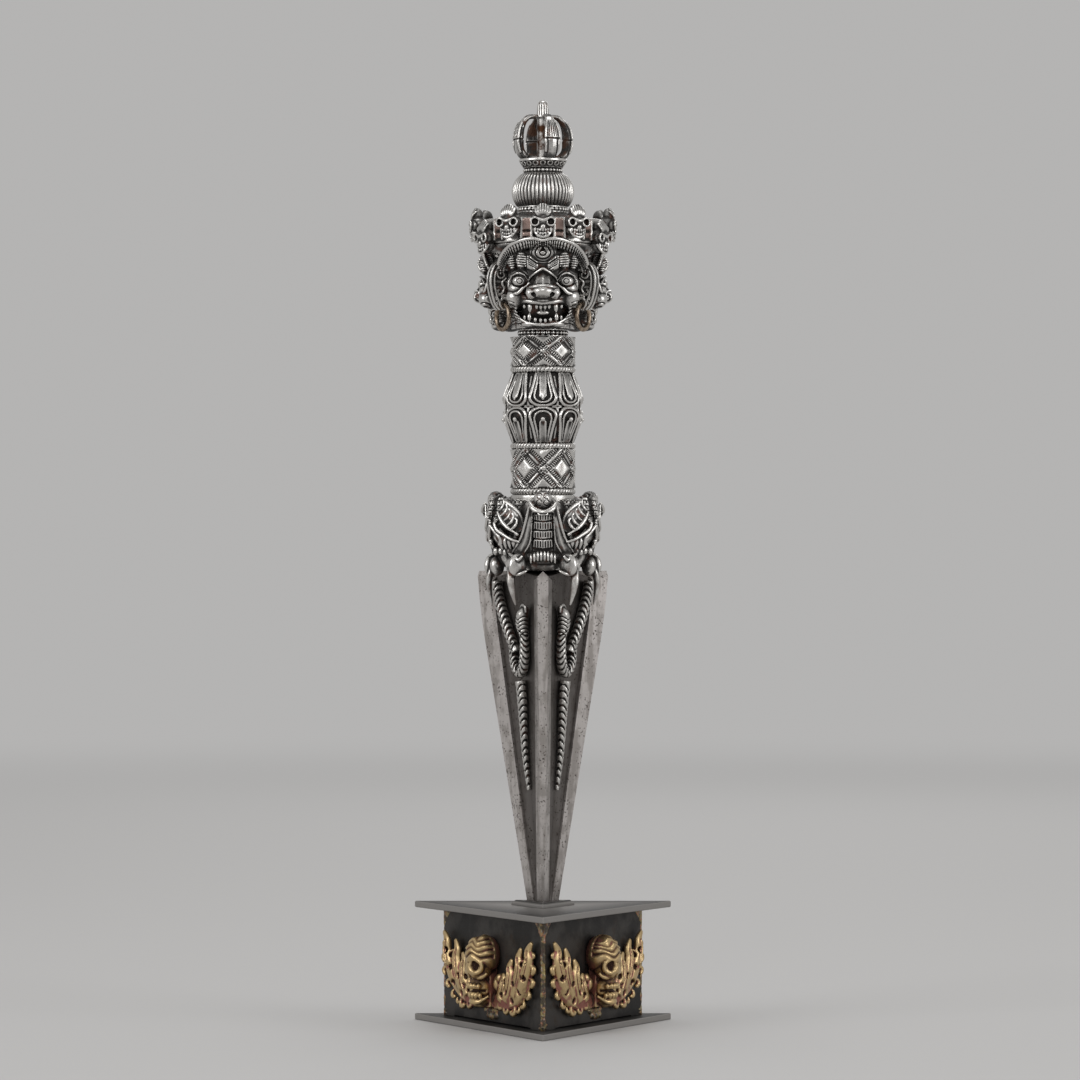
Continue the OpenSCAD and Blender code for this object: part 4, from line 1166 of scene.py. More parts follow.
def head_wax():
    wax = bmesh.new()
    z = NECK_Z
    sleeve(wax, z, z + 28.9, 11, 11)
    sleeve(wax, z + 24.4, z + 28.9, 17.5, 20.6)
    lump(wax, (0, -9.5, z + 17), (12, 11, 12.5), detail=4)
    lump(wax, (0, -12.2, z + 23.2), (12.4, 9.6, 6.6), detail=4)
    lump(wax, (0, -8.4, z + 7.6), (9.6, 7.8, 7.5), detail=4)
    pair(lump, wax, (8.4, -10.5, z + 14), (3.6, 5, 7))
    arch = [(x, y, z + up) for x, y, up in HAIR]
    both(roll, wax, arch, [0.6, 0.7, 0.75, 0.75], up=(0, -0.6, 0.8))
    for in_x, in_y, drop in ((0.95, 0.965, 1.2), (0.915, 0.93, 2.1), (0.88, 0.9, 0.6), (0.8, 0.8, 1.6)):
        strand = [(x * in_x, y * in_y, up - drop) for x, y, up in arch]
        both(roll, wax, strand, [0.9, 1.1, 1.1], up=(0, -0.6, 0.8))
    pair(lump, wax, (7.9, -17.4, z + 16), (2.6, 3.1, 2.2))
    pair(lump, wax, (8.0, -18.8, z + 15.7), (2.5, 2.1, 1.95))
    pair(lump, wax, (8.8, -17.3, z + 13.2), (2.9, 2.6, 2.3))
    both(roll, wax, [(5.2, -19.6, z + 15.2), (6.6, -20.2, z + 17.7), (8.6, -20, z + 18.4),
                     (10.6, -18.3, z + 17.6), (11.4, -16.8, z + 16)], [0.35, 0.5, 0.5, 0.4])
    for spot, size, turn in (((10.5, -17.4, z + 22.3), (1.7, 1.8, 2.6), (0, 8, 0)),
                             ((7.3, -19.8, z + 22.7), (2.1, 2.0, 3.0), (0, 0, 0)),
                             ((4.2, -21.1, z + 21.8), (2.3, 1.8, 3.4), (0, 50, 0))):
        pair(lump, wax, spot, size, turn=turn)
    lump(wax, (0, -20.2, z + 25.2), (5.0, 2.1, 3.6), detail=4)
    lump(wax, (0, -19.4, z + 17.2), (3.6, 2.6, 3.6))
    both(roll, wax, [(0, -22.9, z + 19.9), (2.4, -21.9, z + 18.4), (4.3, -20.2, z + 16.9),
                     (5.2, -19.8, z + 15.6)], [0.45, 0.5, 0.45])
    both(roll, wax, [(11.6, -15.2, z + 16.4), (11.5, -16.4, z + 13.4), (10.2, -18.6, z + 11.5),
                     (8.4, -20, z + 11.7), (6.6, -20.8, z + 13.4), (4.4, -21.4, z + 15.0)],
         [0.5, 0.62, 0.62, 0.5])
    pair(lump, wax, (9.0, -16.7, z + 10.3), (3.6, 3.2, 3.1))
    roll(wax, [(0, -19, z + 17), (0, -22.2, z + 14.4), (0, -23.6, z + 12)], [2.6, 3.3, 3.3], up=(1, 0, 0))
    lump(wax, (0, -24.0, z + 11.9), (3.9, 3.3, 2.3))
    pair(lump, wax, (4.0, -22.7, z + 11.4), (2.3, 2.7, 2.1))
    roll(wax, [(-5.3, -22.2, z + 12.9), (-2.4, -25.4, z + 13.5), (2.4, -25.4, z + 13.5),
               (5.3, -22.2, z + 12.9)], [0.5, 0.75, 0.75, 0.5])
    lips = [(0, -21.4, z + 8.2), (3.2, -21.1, z + 8.5), (6.4, -19.2, z + 8.9), (8.6, -16.2, z + 7.7),
            (9.2, -14.4, z + 5.8), (8.2, -14.8, z + 3.4), (5.2, -16.9, z + 1.6), (2.2, -18.2, z + 0.95),
            (0, -18.5, z + 0.85)]
    both(roll, wax, lips, [0.75, 0.75, 0.6, 0.55, 0.55, 0.6, 0.65])
    for back in (1.2, 2.4, 3.6):
        both(roll, wax, [(x * (1 + back * 0.015), y + back, a) for x, y, a in lips], 0.95, sides=6)
    roll(wax, [(-6.5, -18.6, z + 10), (0, -21.4, z + 9.8), (6.5, -18.6, z + 10)], [1.2, 1.6, 1.2])
    lump(wax, (0, -18.6, z + 4.9), (2.3, 1.6, 0.9))
    for x, tooth_z, size in ((0.72, 7.1, (0.66, 0.8, 1.25)), (2.15, 7.1, (0.62, 0.8, 1.15)),
                             (4.4, 6.9, (0.85, 1.0, 2.0)), (6.3, 7.2, (0.6, 0.7, 0.9)),
                             (4.6, 3.4, (0.75, 0.9, 1.6)), (2.6, 2.5, (0.6, 0.7, 0.95)),
                             (0.8, 2.3, (0.6, 0.7, 0.8)), (6.2, 3.4, (0.55, 0.6, 0.9))):
        pair(lump, wax, (x, -19.1 - 0.1 * (tooth_z - 4) + 0.05 * x * x, z + tooth_z), size, detail=2)
    pair(lump, wax, (3.0, -14.8, z + 1.2), (4.4, 3.3, 1.7))
    return wax


# %% Chasing the face
head = Casting(head_wax(), grain=0.21, soften=2)
z = NECK_Z
front = head.points[:, 1] < -12
head.chase([ring_line(0, z + 25.2, r, wide=1.25) for r in (0.9, 2.1)], 0.4, -0.6, where=front)
head.chase([ring_line(0, z + 25.2, 3.0, wide=1.3), ring_line(0, z + 25.1, 3.8, 195, 345, wide=1.3)],
           0.32, -0.45, where=front)
head.chase([ring_line(side * 8.0, z + 15.6, 0.95) for side in (-1, 1)], 0.28, -0.36, where=front)
almond = [(5.2, 15.5), (6.4, 17.2), (8.2, 17.8), (10.2, 17.1), (11.0, 15.5), (9.8, 14.1), (7.8, 13.6),
          (6, 14.2), (5.2, 15.5)]
head.chase(both_sides([(x, z + a) for x, a in almond]), 0.38, -0.6, where=front)
lids = [[(5.0, 16.4), (6.2, 18.2), (8.2, 19.0), (10.4, 18.2), (11.4, 16.6)],
        [(5.2, 18.4), (6.6, 19.7), (8.4, 20.1), (10.6, 19.2)]]
head.chase(both_sides(*([(x, z + a) for x, a in smooth_line(lid, 4)] for lid in lids)), 0.34, -0.4,
           where=front)
brow = [[(9.5, z + 20.7 + 0.85 * k), (11.9, z + 20.4 + 0.85 * k)] for k in range(5)]
brow += [[(6.0, z + 20.9 + 0.9 * k), (8.7, z + 21.2 + 0.9 * k)] for k in range(5)]
brow += [[(5.4 - 0.15 * k, z + 23.8 - 0.85 * k), (2.3, z + 21.7 - 0.65 * k)] for k in range(4)]
parting = [[(9.1, z + 19.8), (9.1, z + 25)], [(5.7, z + 20), (5.6, z + 25.2)]]
nostril = [(3.5, z + 11.0), (3.1, z + 10.6)]
cheek_fold = [(5.9, z + 12.9), (6.3, z + 11.2), (5.4, z + 9.6)]
whiskers = [[(9.9 + 0.1 * k, z + 8.2 - 0.85 * k), (12.8, z + 9.2 - 1.0 * k)] for k in range(5)]
beard = [[(7.2, z + 0.3 + 1.05 * k), (10.6, z + 1.5 + 1.05 * k), (15.6, z + 1.9 + 1.05 * k)]
         for k in range(6)]
hair = [[(0.98 * x, z + up - 0.8), (0.9 * x, z + up - 2.9)] for x, _, up in smooth_line(HAIR, 4)]
chin = [(2.6, z + 1.6), (5.6, z + 2.3)]
for strokes, width, depth in ((brow, 0.32, -0.55), (parting, 0.3, -0.45), ([nostril], 0.85, -1.4),
                              ([cheek_fold], 0.4, -0.5), (whiskers, 0.36, -0.45)):
    head.chase(both_sides(*strokes), width, depth, where=front)
head.chase(both_sides(*beard), 0.36, -0.5, where=np.abs(head.points[:, 0]) > 7.4, round_at=15)
head.chase(both_sides(*hair), 0.36, -0.75, where=front)
head.chase(both_sides(chin), 0.3, -0.3, where=front)
clear_ring_room(head, [(5.9, LOBE_R - 5.2, z + 7.4), (4.9, LOBE_R - 2.9, z + 10.0), (1.75, 14.3, z + 25.2)])
press_third(head)
x, y, up = head.points.T
deep = head.sunk(wide=5)
mouth = ((x / 7.9) ** 2 + ((up - z - 4.9) / 3.5) ** 2 < 1) & (y > -18.3 + 0.05 * x * x)
deep[mouth & (y < -12)] = 1.1
# Painted shade: the lower sides of each head, towards the seams and behind the ear rings, are darkened as if
# sunk.
deep[(np.abs(head.angle()) > 0.5) & (up < z + 7.5)] += 0.4
three_times("head", head.mark(sunk=deep), "phurba", silver)

# %% [markdown]
# Ears and their rings.
#
# The ears stand in the seams between the heads, two of them back to back, and each ear shows its face
# to its own head. It is drawn in the plane of the seam by reach and height: a thin plate, a double
# outer rim, a scroll at the top, a curl below it, and a pierced lobe. A plain wire ring hangs through
# both lobes and swings, so it is its own piece on its own body.

# %% Ears
LOBE_H = 8.4


def ear_point(side, reach, height, lift):
    """A point of the ear plate, lifted from the seam towards its own head."""
    along, past = seam_axes(side)
    place = along * reach - past * lift
    return (place[0], place[1], NECK_Z + height)


wax = bmesh.new()
for side in (-1, 1):
    up = tuple(-seam_axes(side)[1])

    def line(points, thick, lift=0.95, flat=1.0):
        spots = [ear_point(side, r, h, lift) for r, h in points]
        roll(wax, spots, thick, flat=flat, up=up, sides=6, steps=5)

    for h, half in ((20, 2.2), (18, 2.7), (16, 2.9), (14, 2.7), (12, 2.3)):
        line([(17.6 - half, h), (17.6 + half, h)], 1.25, 0.75, 0.42)
    line([(14.5, 21.2), (16.6, 22.6), (19.2, 21.8), (20.9, 18.8), (21.2, 15), (20.4, 11), (19.2, 8),
          (17.6, 6.3)], [0.5, 0.55, 0.55, 0.45])
    line([(15.2, 20.2), (17.2, 21.2), (18.8, 20.2), (19.7, 17.8), (19.8, 14.8), (19.1, 11.6), (18, 9)],
         0.38, 1.15)
    winding = (polar(a, 0.35 + 0.0036 * a) for a in range(0, 450, 40))
    scroll = [(17.1 + across, 18.6 + rise) for across, rise in winding]
    line(scroll, [0.3, 0.42], 1.2)
    line([(15.2, 17.4), (16.8, 15.6), (16.1, 13.6), (17.0, 12.0), (18.3, 11.6), (18.7, 12.7), (17.9, 13.2)],
         [0.45, 0.5, 0.42], 1.15)
    line(circle(LOBE_R, LOBE_H, 1.75, range(0, 391, 30)), 0.52, 0.9, 1.3)
    for h in (10.6, 11.3):
        line([(14.9, h), (17.2, h)], 0.36, 1.2)
ear = Casting(wax, grain=0.2, soften=1)
for side in (-1, 1):
    own = ear.points[:, 0] * side > 0
    over = beside(ear.points, side)[1]
    push = np.where(own, over - np.clip(over, -1.62, -0.16), 0)
    ear.points -= push[:, None] * seam_axes(side)[1]
ear.write()
sides = np.sign(ear.points[:, 0])
reach, over = (np.where(sides < 0, left, right)
               for left, right in zip(beside(ear.points, -1), beside(ear.points, 1)))
mesh = ear.mark(sunk=ear.sunk(reach * sides, -over))
three_times("ears", mesh, "phurba", silver)

# %% Ear rings
WIRE_R, RING_R = 0.8, 4.4
for i in range(3):
    bm = bmesh.new()
    section = bmesh.ops.create_circle(bm, segments=20, radius=WIRE_R)["verts"]
    put(bm, section, at=(RING_R, 0, 0), turn=(90, 0, 0))
    bmesh.ops.spin(bm, geom=bm.verts[:] + bm.edges[:], cent=(0, 0, 0), axis=(0, 0, 1), dvec=(0, 0, 0),
                   angle=TURN, steps=96, use_merge=True)
    put(bm, bm.verts, at=(0, -LOBE_R, NECK_Z + LOBE_H - RING_R), turn=(90, 0, 0))
    put(bm, bm.verts, turn=(0, 0, 60 + 120 * i))
    bmesh.ops.recalc_face_normals(bm, faces=bm.faces)
    name = f"ear_ring_{i + 1}"
    finish_piece(name, mesh_of(bm, "ear_ring"), f"ring_{i + 1}", [name], wire)


# %% [markdown]
# The nagas in the grooves.
#
# In each groove lies a snake: it comes down beside the side fin, bends round, and rises to a small
# curled hood beside the next fin, while its tail runs on down the groove. The body is a roll that
# lies on the groove's floor, which is reckoned from the blade's outline. The scales are chased as rows
# of little arrowheads that follow the body.

# %% Snakes
EDGE_D, WEB_W = 7.4, 3.8
NAGA_GAP = 0.08


def groove_y(x, z):
    """The y of a groove's floor, as if the groove were at the front."""
    r = ridge_r(z)
    floor = 0.36 * r
    return -(floor + abs(x) * (0.5 * (r - EDGE_D) + 0.6 * WEB_W - floor) / r)


def in_groove(points, thick):
    """A path in the groove with the body's underside on the floor."""
    return [(x, groove_y(x, z) - size - NAGA_GAP, z)
            for (x, z), size in zip(points, spread(thick, len(points)))]


def scales(points, half, pitch=1.3):
    """Arrowheads along a line of x and z, one behind the other."""
    line = smooth_line(points, 24)
    strokes, run = [], 0.0
    for a, b in zip(line, line[1:]):
        step = b - a
        run += np.linalg.norm(step)
        if run > pitch:
            run = 0.0
            ahead = step / np.linalg.norm(step)
            across = np.array([ahead[1], -ahead[0]])
            for side in (-1, 1):
                strokes.append([tuple(a + across * side * half * 0.12 + ahead * 1.2),
                                tuple(a + across * side * half - ahead * 0.6)])
    return strokes


BEND = BLADE_TOP - 35.6
OUTER = [(-11, BEND + 32), (-9.8, BEND + 26), (-7.2, BEND + 19.5), (-4.2, BEND + 13), (-1.2, BEND + 7.6)]
LOOP = [(-3.4, BEND + 12), (-3.2, BEND + 7), (-2.2, BEND + 3), (0.6, BEND + 0.6), (3.4, BEND + 2.4),
        (4.9, BEND + 6), (5.2, BEND + 10), (5.4, BEND + 15)]
TAIL = [(0.6, BEND - 2.2), (0.9, BEND - 9), (0.2, BEND - 18), (-0.3, BEND - 28), (0, BEND - 40)]
HOOD = [(5.4, BEND + 13.5), (5.3, BEND + 17.5), (5.9, BEND + 21), (7.2, BEND + 23.2)]


def naga(i, mirrored, turn):
    """A snake, made as if its groove were at the front, and mirrored where it bends the other way."""
    wax = bmesh.new()
    for path, thick in ((OUTER, [2.0, 2.0, 1.8]), (LOOP, [1.5, 1.9, 1.9, 1.6]),
                        (TAIL, [1.9, 1.8, 1.5, 1.2, 0.7]), (HOOD, [1.7, 2.3, 2.1, 0.7])):
        roll(wax, in_groove(path, thick), thick, sides=12)
    rim = [(3.4, BEND + 18.5), (3.9, BEND + 21.6), (5.8, BEND + 23.9), (8, BEND + 23.4), (8.3, BEND + 21.4)]
    roll(wax, [(x, y - 1.5, z) for x, y, z in in_groove(rim, [0.6])], [0.45, 0.6, 0.6, 0.35])
    snake = Casting(wax, grain=0.23, soften=2)
    snake.chase(scales(OUTER, 1.9, 1.9) + scales(LOOP, 1.8, 1.8) + scales(TAIL, 1.6, 2.2), 0.42, -0.65)
    snake.chase([[(3.4 + 0.1 * k, BEND + 14.6 + 1.35 * k), (5.4 + 0.15 * k, BEND + 13.4 + 1.35 * k),
                  (7.5 + 0.1 * k, BEND + 14.8 + 1.35 * k)] for k in range(5)], 0.3, -0.42)
    if mirrored:
        snake.points[:, 0] *= -1
        snake.mesh.flip_normals()
        snake.write()
    mesh = snake.mark()
    mesh.transform(Matrix.Rotation(math.radians(turn), 4, "Z"))
    finish_piece(f"naga_{i}", mesh, "phurba", [f"naga_{i}"], dark_silver)


naga(1, True, 60)
naga(2, False, 180)
naga(3, False, -60)

# %% [markdown]
# The makara block.
#
# Three makaras, crocodile-like sea creatures, hold the three fins in their jaws. The trunk of each is
# curled up and back, so the front shows its underside: a column of ribs between two smooth bars, a
# crescent tip, and the jewel it carries. Below hang the teeth in an arch over the fin, the polished
# lip corners, and a tusk to each side. Leaf-shaped ears with bright rims sweep back to the
# neighbours. The block's core, round the tang, hardly shows and stays plain.

# %% Core of the block
core_low, core_high = heights("makara_core")
wax = bmesh.new()
sleeve(wax, core_low + 0.02, core_low + 20.6, 10, 10)
sleeve(wax, core_low + 20.6, core_high, 11.2, 11.3)
core = Casting(wax, grain=0.6, soften=1)
core.trim(core_low, core_high)
finish_piece("makara_core", core.mark(), "phurba", ["makara_core"], dark_silver)


# %% Forms of the makara head
def makara_wax():
    wax = bmesh.new()
    z = BLADE_TOP
    lump(wax, (0, -10.6, z + 9), (8.6, 5.2, 10))
    lump(wax, (0, -12, z + 17), (8.6, 6, 9))
    pair(lump, wax, (8.2, -9.0, z + 11), (4.6, 4.2, 10))
    pair(lump, wax, (8.4, -8.6, z + 18.6), (7, 5.2, 6.4))
    pair(lump, wax, (13.4, -9.0, z + 15), (3.6, 3.0, 6))
    roll(wax, [(0, -12.9, z + 6.6), (0, -14.5, z + 12), (0, -17.6, z + 20)], [4.6, 4.3, 3.9], flat=0.62)
    both(roll, wax, [(3.9, -19.4, z + 23.2), (4.9, -18.5, z + 17), (6.0, -16.1, z + 11),
                     (8.2, -13.9, z + 5.8)], [0.8, 1.3, 1.9, 2.3], flat=0.5, sides=8)
    both(roll, wax, [(4.6, -20.3, z + 23), (6.1, -18.9, z + 16.5), (7.8, -16.4, z + 11),
                     (10.4, -13.8, z + 6.4)], [0.35, 0.45, 0.45, 0.4])
    both(roll, wax, [(3.4, -19.9, z + 22.6), (3.6, -18.6, z + 16), (4.4, -16.6, z + 10),
                     (6.4, -15.2, z + 6.4)], [0.3, 0.3, 0.3])
    roll(wax, [(-4.6, -20.4, z + 23.6), (-3.2, -22.2, z + 21.3), (0, -23.2, z + 19.9), (3.2, -22.2, z + 21.3),
               (4.6, -20.4, z + 23.6)], [0.6, 0.95, 1.15, 0.95, 0.6], flat=0.8)
    roll(wax, [(0, -15, z + 22.5), (0, -18.4, z + 22.6)], [3.6, 3.3], up=(0, 0, 1))
    lump(wax, (0, -18.7, z + 24.6), 3.1, detail=4)
    for k in range(8):
        x = (k - 3.5) * 1.18
        lump(wax, (x, -16.6 + 0.035 * x * x, z + 5.3 - 0.06 * x * x), (0.52, 0.9, 1.9), detail=2)
    lump(wax, (0, -13.9, z + 5), (6.2, 3, 2.8))
    pair(lump, wax, (8.6, -15.0, z + 2.2), (3.4, 1.9, 4.2), turn=(0, -14, -24))
    pair(lump, wax, (9.8, -12.6, z + 1.8), (3.0, 2.4, 3.6))
    both(roll, wax, [(11.5, -13.2, z + 6.1), (10.1, -15.4, z + 5.0), (8.3, -16.9, z + 3.9),
                     (7.1, -16.9, z + 5.4)], [0.5, 0.65, 0.65, 0.4])
    both(roll, wax, [(5.4, -15.8, z + 0.4), (6.6, -16.6, z - 0.4), (9, -15.8, z - 1.2),
                     (11, -13.8, z - 0.6)], [0.4, 0.6, 0.6, 0.4])
    both(roll, wax, [(10.6, -13.9, z + 0.8), (11.0, -15, z - 2.8), (10.4, -15.2, z - 7),
                     (9.3, -14.8, z - 11.7)], [1.5, 1.45, 1.1, 0.3], flat=0.75)
    leaf = [(7.8, -15.6, z + 13.4), (10.2, -14.6, z + 17.4), (12.8, -12.9, z + 21),
            (14.6, -11.6, z + 24.6)]
    both(roll, wax, leaf, [2.2, 4.0, 3.6, 0.8], flat=0.42, up=(0.45, -0.9, 0))
    both(roll, wax, [(6.9, -16.4, z + 15.2), (7.6, -16.3, z + 18.9), (10.0, -15.2, z + 21.8),
                     (12.6, -13.4, z + 23.6), (14.8, -11.4, z + 25.2)], [0.4, 0.6, 0.6, 0.4])
    both(roll, wax, [(8.4, -16.7, z + 12.4), (11.6, -15.8, z + 14.4), (14.3, -13.8, z + 17.6),
                     (15.3, -12.2, z + 21.0), (14.9, -11.4, z + 25)], [0.6, 0.75, 0.7, 0.4])
    for k in range(5):
        x, y, up = 9.2 + 1.1 * k, -16.7 + 0.84 * k, z + 15.2 + 1.6 * k
        both(roll, wax, [(x + 1.8, y + 0.5, up - 0.9), (x + 0.4, y - 0.2, up + 0.2), (x - 0.4, y, up + 1.9),
                         (x + 0.2, y + 0.2, up + 3.0)], [0.35, 0.6, 0.55, 0.3], sides=6, steps=3)
    both(roll, wax, [(8.0, -16.8, z + 10.0), (10.8, -16, z + 10.9), (13.6, -14.2, z + 12.6),
                     (15.8, -12.4, z + 14.2), (16.6, -11.4, z + 16.6), (15.4, -12.6, z + 17.8)],
         [0.4, 0.6, 0.65, 0.55])
    both(roll, wax, [(18.6, -10.2, z + 16.2), (16.8, -11.4, z + 13.9), (14.9, -12.6, z + 11.6),
                     (14.2, -12.6, z + 9.9), (15.2, -11.9, z + 9.1)], [0.45, 0.65, 0.65, 0.5])
    for k in range(4):
        both(roll, wax, [(9.2 + 1.3 * k, -14.6 + 0.8 * k, z + 12.0),
                         (10 + 1.45 * k, -15.0 + 0.9 * k, z + 10.2),
                         (9.6 + 1.4 * k, -14.0 + 0.9 * k, z + 7.6)], [0.95, 0.95, 0.35])
        pair(lump, wax, (9.9 + 1.45 * k, -13.0 + 0.9 * k, z + 6.6 + 0.4 * (k % 2)), (1.15, 1.1, 1.3),
             detail=2)
    return wax


# %% Makara heads
makara = Casting(makara_wax(), grain=0.22, soften=1)
z = BLADE_TOP
front = makara.points[:, 1] < -14
steps_z = [z + 7.6, z + 10.9, z + 13.9, z + 17, z + 19.6]
makara.chase([[(-3.4, a + 0.25), (0, a - 0.15), (3.4, a + 0.25)] for a in steps_z], 0.45, -0.8, where=front)
ribs = [[(x, a + 0.7), (x, b - 0.7)] for a, b in zip(steps_z, steps_z[1:])
        for x in np.arange(-2.7, 2.8, 0.9)]
makara.chase(ribs, 0.3, -0.55, where=front)
makara.chase(both_sides([(3.75, z + 7), (3.35, z + 19.5)]), 0.4, -0.7, where=front)
jewel = [ring_line(side * 1.3, z + 24.6 + lift, 1.0, 20, 290) for side in (-1, 1) for lift in (-1.2, 1.2)]
makara.chase(jewel, 0.3, -0.4, where=front)
arches = [ring_line(side * (4.6 + 1.4 * k + 0.7 * (row % 2)), z + 16.4 + 1.8 * row, 0.8, 0, 180)
          for row in range(6) for k in range(10) for side in (-1, 1)]
shoulder = (makara.points[:, 2] > z + 17) & (makara.points[:, 1] > -13.4)
makara.chase(arches, 0.28, -0.45, where=shoulder)
makara.chase(both_sides([(10.4, z + 12.5), (12.8, z + 13.7), (14.6, z + 15.4)]), 0.9, -0.9,
             where=makara.points[:, 1] < -9)
inside = (np.abs(makara.points[:, 0]) < 4.2) & (makara.points[:, 1] < -8) & (makara.points[:, 2] < z + 0.1)
makara.points[:, 2] = np.where(inside, z + 0.1, makara.points[:, 2])
makara.write()
press_third(makara, 0.15)
# Painted shade, partly soot: the parts that hang below the blade's top get a dark brown.
makara.store("soot", np.clip((z - 0.6 - makara.points[:, 2]) / 2, 0, 0.4))
three_times("makara_head", makara.mark(), "phurba", silver)


# %% [markdown]
# The crown of skulls.
#
# Twelve small skulls stand round the crown, four to each third: three high ones and a low one over
# each seam between the heads. Each has ringed eyes, a diamond nose, two rows of teeth and a ribbed
# tuft. It is modelled at the front and its points are turned to its place. Between the skulls sit
# small plates that solder has left pink, so they get the `copper` mark.

# %% Crown band and copper plates
band_low, band_high = heights("crown_band")
CROWN_R = 21.4
wax = bmesh.new()
sleeve(wax, band_low + 0.02, band_low + 8.6, CROWN_R, CROWN_R - 0.4)
sleeve(wax, band_low + 8.6, band_high, CROWN_R - 2, 9.2)
for angle in range(15, 375, 30):
    block(wax, around(angle, CROWN_R, band_low + 6.2), (2.4, 1.2, 3.9), (0, 0, angle))
    block(wax, around(angle, CROWN_R, band_low + 2.6), (2.0, 1.2, 1.6), (0, 0, angle))
    for side in (-2.4, 2.4):
        roll(wax, [around(angle + side * 2.1, CROWN_R + 0.3, band_low + z) for z in (1, 4.5, 8)], 0.55)
band = Casting(wax, grain=0.35, soften=1)
band.trim(band_low, band_high)
off = np.abs(np.degrees(band.angle()) % 30 - 15)
band.store("copper", (off < 3.6) & (band.reach() > CROWN_R + 0.25))
finish_piece("crown_band", band.mark(), "phurba", ["crown_band"], dark_silver)


# %% Skulls of the crown
EYE_Z, EYE_X = 276.6, 2.75
CROWN_SKULLS = ((-30, 0), (0, 0), (30, 0), (60, 4.9))


def crown_skull(wax, angle, drop):
    """A skull at the front, turned to its place."""
    before = len(wax.verts)
    z = EYE_Z - drop
    lump(wax, (0, -22.3, z + 0.4), (4.2, 3.1, 3.1))
    lump(wax, (0, -22.3, z - 2.6), (3.5, 2.6, 2.3))
    lump(wax, (0, -22.5, z + 3.4), (2.9, 1.9, 2.8))
    for side in (-1, 1):
        rim = [(side * EYE_X + 1.3 * across, -25.1 + 0.25 * abs(across), z + 1.3 * up)
               for across, up in (polar(a) for a in range(0, 391, 30))]
        lump(wax, (side * 2.7, -23.5, z), (1.7, 1.6, 1.7))
        roll(wax, rim, 0.46, sides=6, steps=2)
    roll(wax, [(-1.7, -25.0, z + 1.0), (0, -25.3, z + 0.4), (1.7, -25.0, z + 1.0)], [0.4, 0.5, 0.4])
    for k in range(-3, 4):
        roll(wax, [(0.36 * k, -24.4, z + 1.9), (0.82 * k, -24.4, z + 3.9 - 0.07 * k * k),
                   (0.78 * k, -23.0, z + 6.3 - 0.16 * k * k)], [0.42, 0.46, 0.35], sides=6, steps=3)
    lump(wax, (0, -25.0, z - 1.8), (0.8, 0.55, 0.95), (0, 45, 0), detail=2)
    roll(wax, [(-3.3, -23.2, z - 2.2), (-2, -24.2, z - 4.4), (0, -24.5, z - 5.2), (2, -24.2, z - 4.4),
               (3.3, -23.2, z - 2.2)], [0.4, 0.5, 0.5, 0.4])
    for row, rise in ((-2.9, 0.07), (-4.1, 0.12)):
        for k in range(-3, 4):
            lump(wax, (0.88 * k, -24.9 + 0.1 * k * k, z + row + rise * k * k), (0.36, 0.5, 0.52), detail=1)
    wax.verts.ensure_lookup_table()
    put(wax, wax.verts[before:], turn=(0, 0, angle))


wax = bmesh.new()
for angle, drop in CROWN_SKULLS:
    crown_skull(wax, angle, drop)
skulls = Casting(wax, grain=0.24, soften=1)
for angle, drop in CROWN_SKULLS:
    cos, sin = polar(angle)
    x, y, up = skulls.points.T
    own_x, own_y = x * cos + y * sin, y * cos - x * sin
    for side in (-1, 1):
        away = np.hypot(own_x - side * EYE_X, up - EYE_Z + drop)
        hole = np.clip((1.15 - away) / 0.35, 0, 1) * (own_y < -22)
        skulls.points += np.outer(hole * 1.5, (-sin, cos, 0))
skulls.write()
three_times("crown_skulls", skulls.mark(), "phurba", silver)

# %% [markdown]
# The finial.
#
# A beaded ring, a bulb with close flutes, a collar with a row of little rings, and over it half a
# vajra: four prongs that bow out from the collar and close round a fifth in the middle. The bulb is a
# stack of cones whose points are pulled in along the grooves by a wave of the angle. Flux and oxide
# were never cleaned out from between the prongs, and the inside lies in shade, so the inside is
# painted dark brown: partly soot and partly painted shade.

# %% Beaded rings
def beaded_ring(node, beads, bead_r):
    low, high = heights(node)
    ring_r = low_high(node)[1].x
    wax = bmesh.new()
    sleeve(wax, low, high, ring_r - bead_r * 1.25, ring_r - bead_r * 1.25)
    sleeve(wax, low, low + 0.5, ring_r - 0.35, ring_r - 0.35)
    sleeve(wax, high - 0.5, high, ring_r - 0.35, ring_r - 0.35)
    for k in range(beads):
        lump(wax, around(360 * k / beads, ring_r - bead_r, (low + high) / 2), bead_r, detail=2)
    ring = Casting(wax, grain=0.2, soften=1)
    ring.trim(low, high)
    silver_piece(node, ring)


beaded_ring("neck_ring", 30, 0.85)
beaded_ring("bulb_ring", 32, 0.8)

# %% Fluted bulb
low, high = heights("fluted_bulb")
wide_r = low_high("fluted_bulb")[1].x
FLUTES = 46
wax = bmesh.new()
body_high = low + (high - low) * 0.87
BULB_ROUND, BULB_FOOT = 7.6, 9.0
WIDE_H = math.sqrt(BULB_ROUND ** 2 - (BULB_FOOT - wide_r + BULB_ROUND) ** 2)
levels = np.linspace(0, body_high - low, 25)
radii = [wide_r - BULB_ROUND + math.sqrt(BULB_ROUND ** 2 - (t - WIDE_H) ** 2) for t in levels]
for a, b, r, s in zip(levels, levels[1:], radii, radii[1:]):
    sleeve(wax, low + a, low + b, r, s, sides=160)
sleeve(wax, body_high - 0.6, high, 6.2, 6.2)
for k in range(30):
    lump(wax, around(12 * k, 6.4, (body_high + high) / 2), 0.62, detail=2)
bulb = Casting(wax, grain=0.2, soften=2)
reach = bulb.reach()
share = np.clip((bulb.points[:, 2] - low) / (body_high - low), 0, 1)
in_bulb = (share < 0.985) & (reach > 6.6)
wave = np.abs(np.sin(bulb.angle() * FLUTES / 2)) ** 0.7
cut = (1 - wave) * 0.75 * np.clip(np.sin(share * math.pi), 0, 1) ** 0.35 * in_bulb
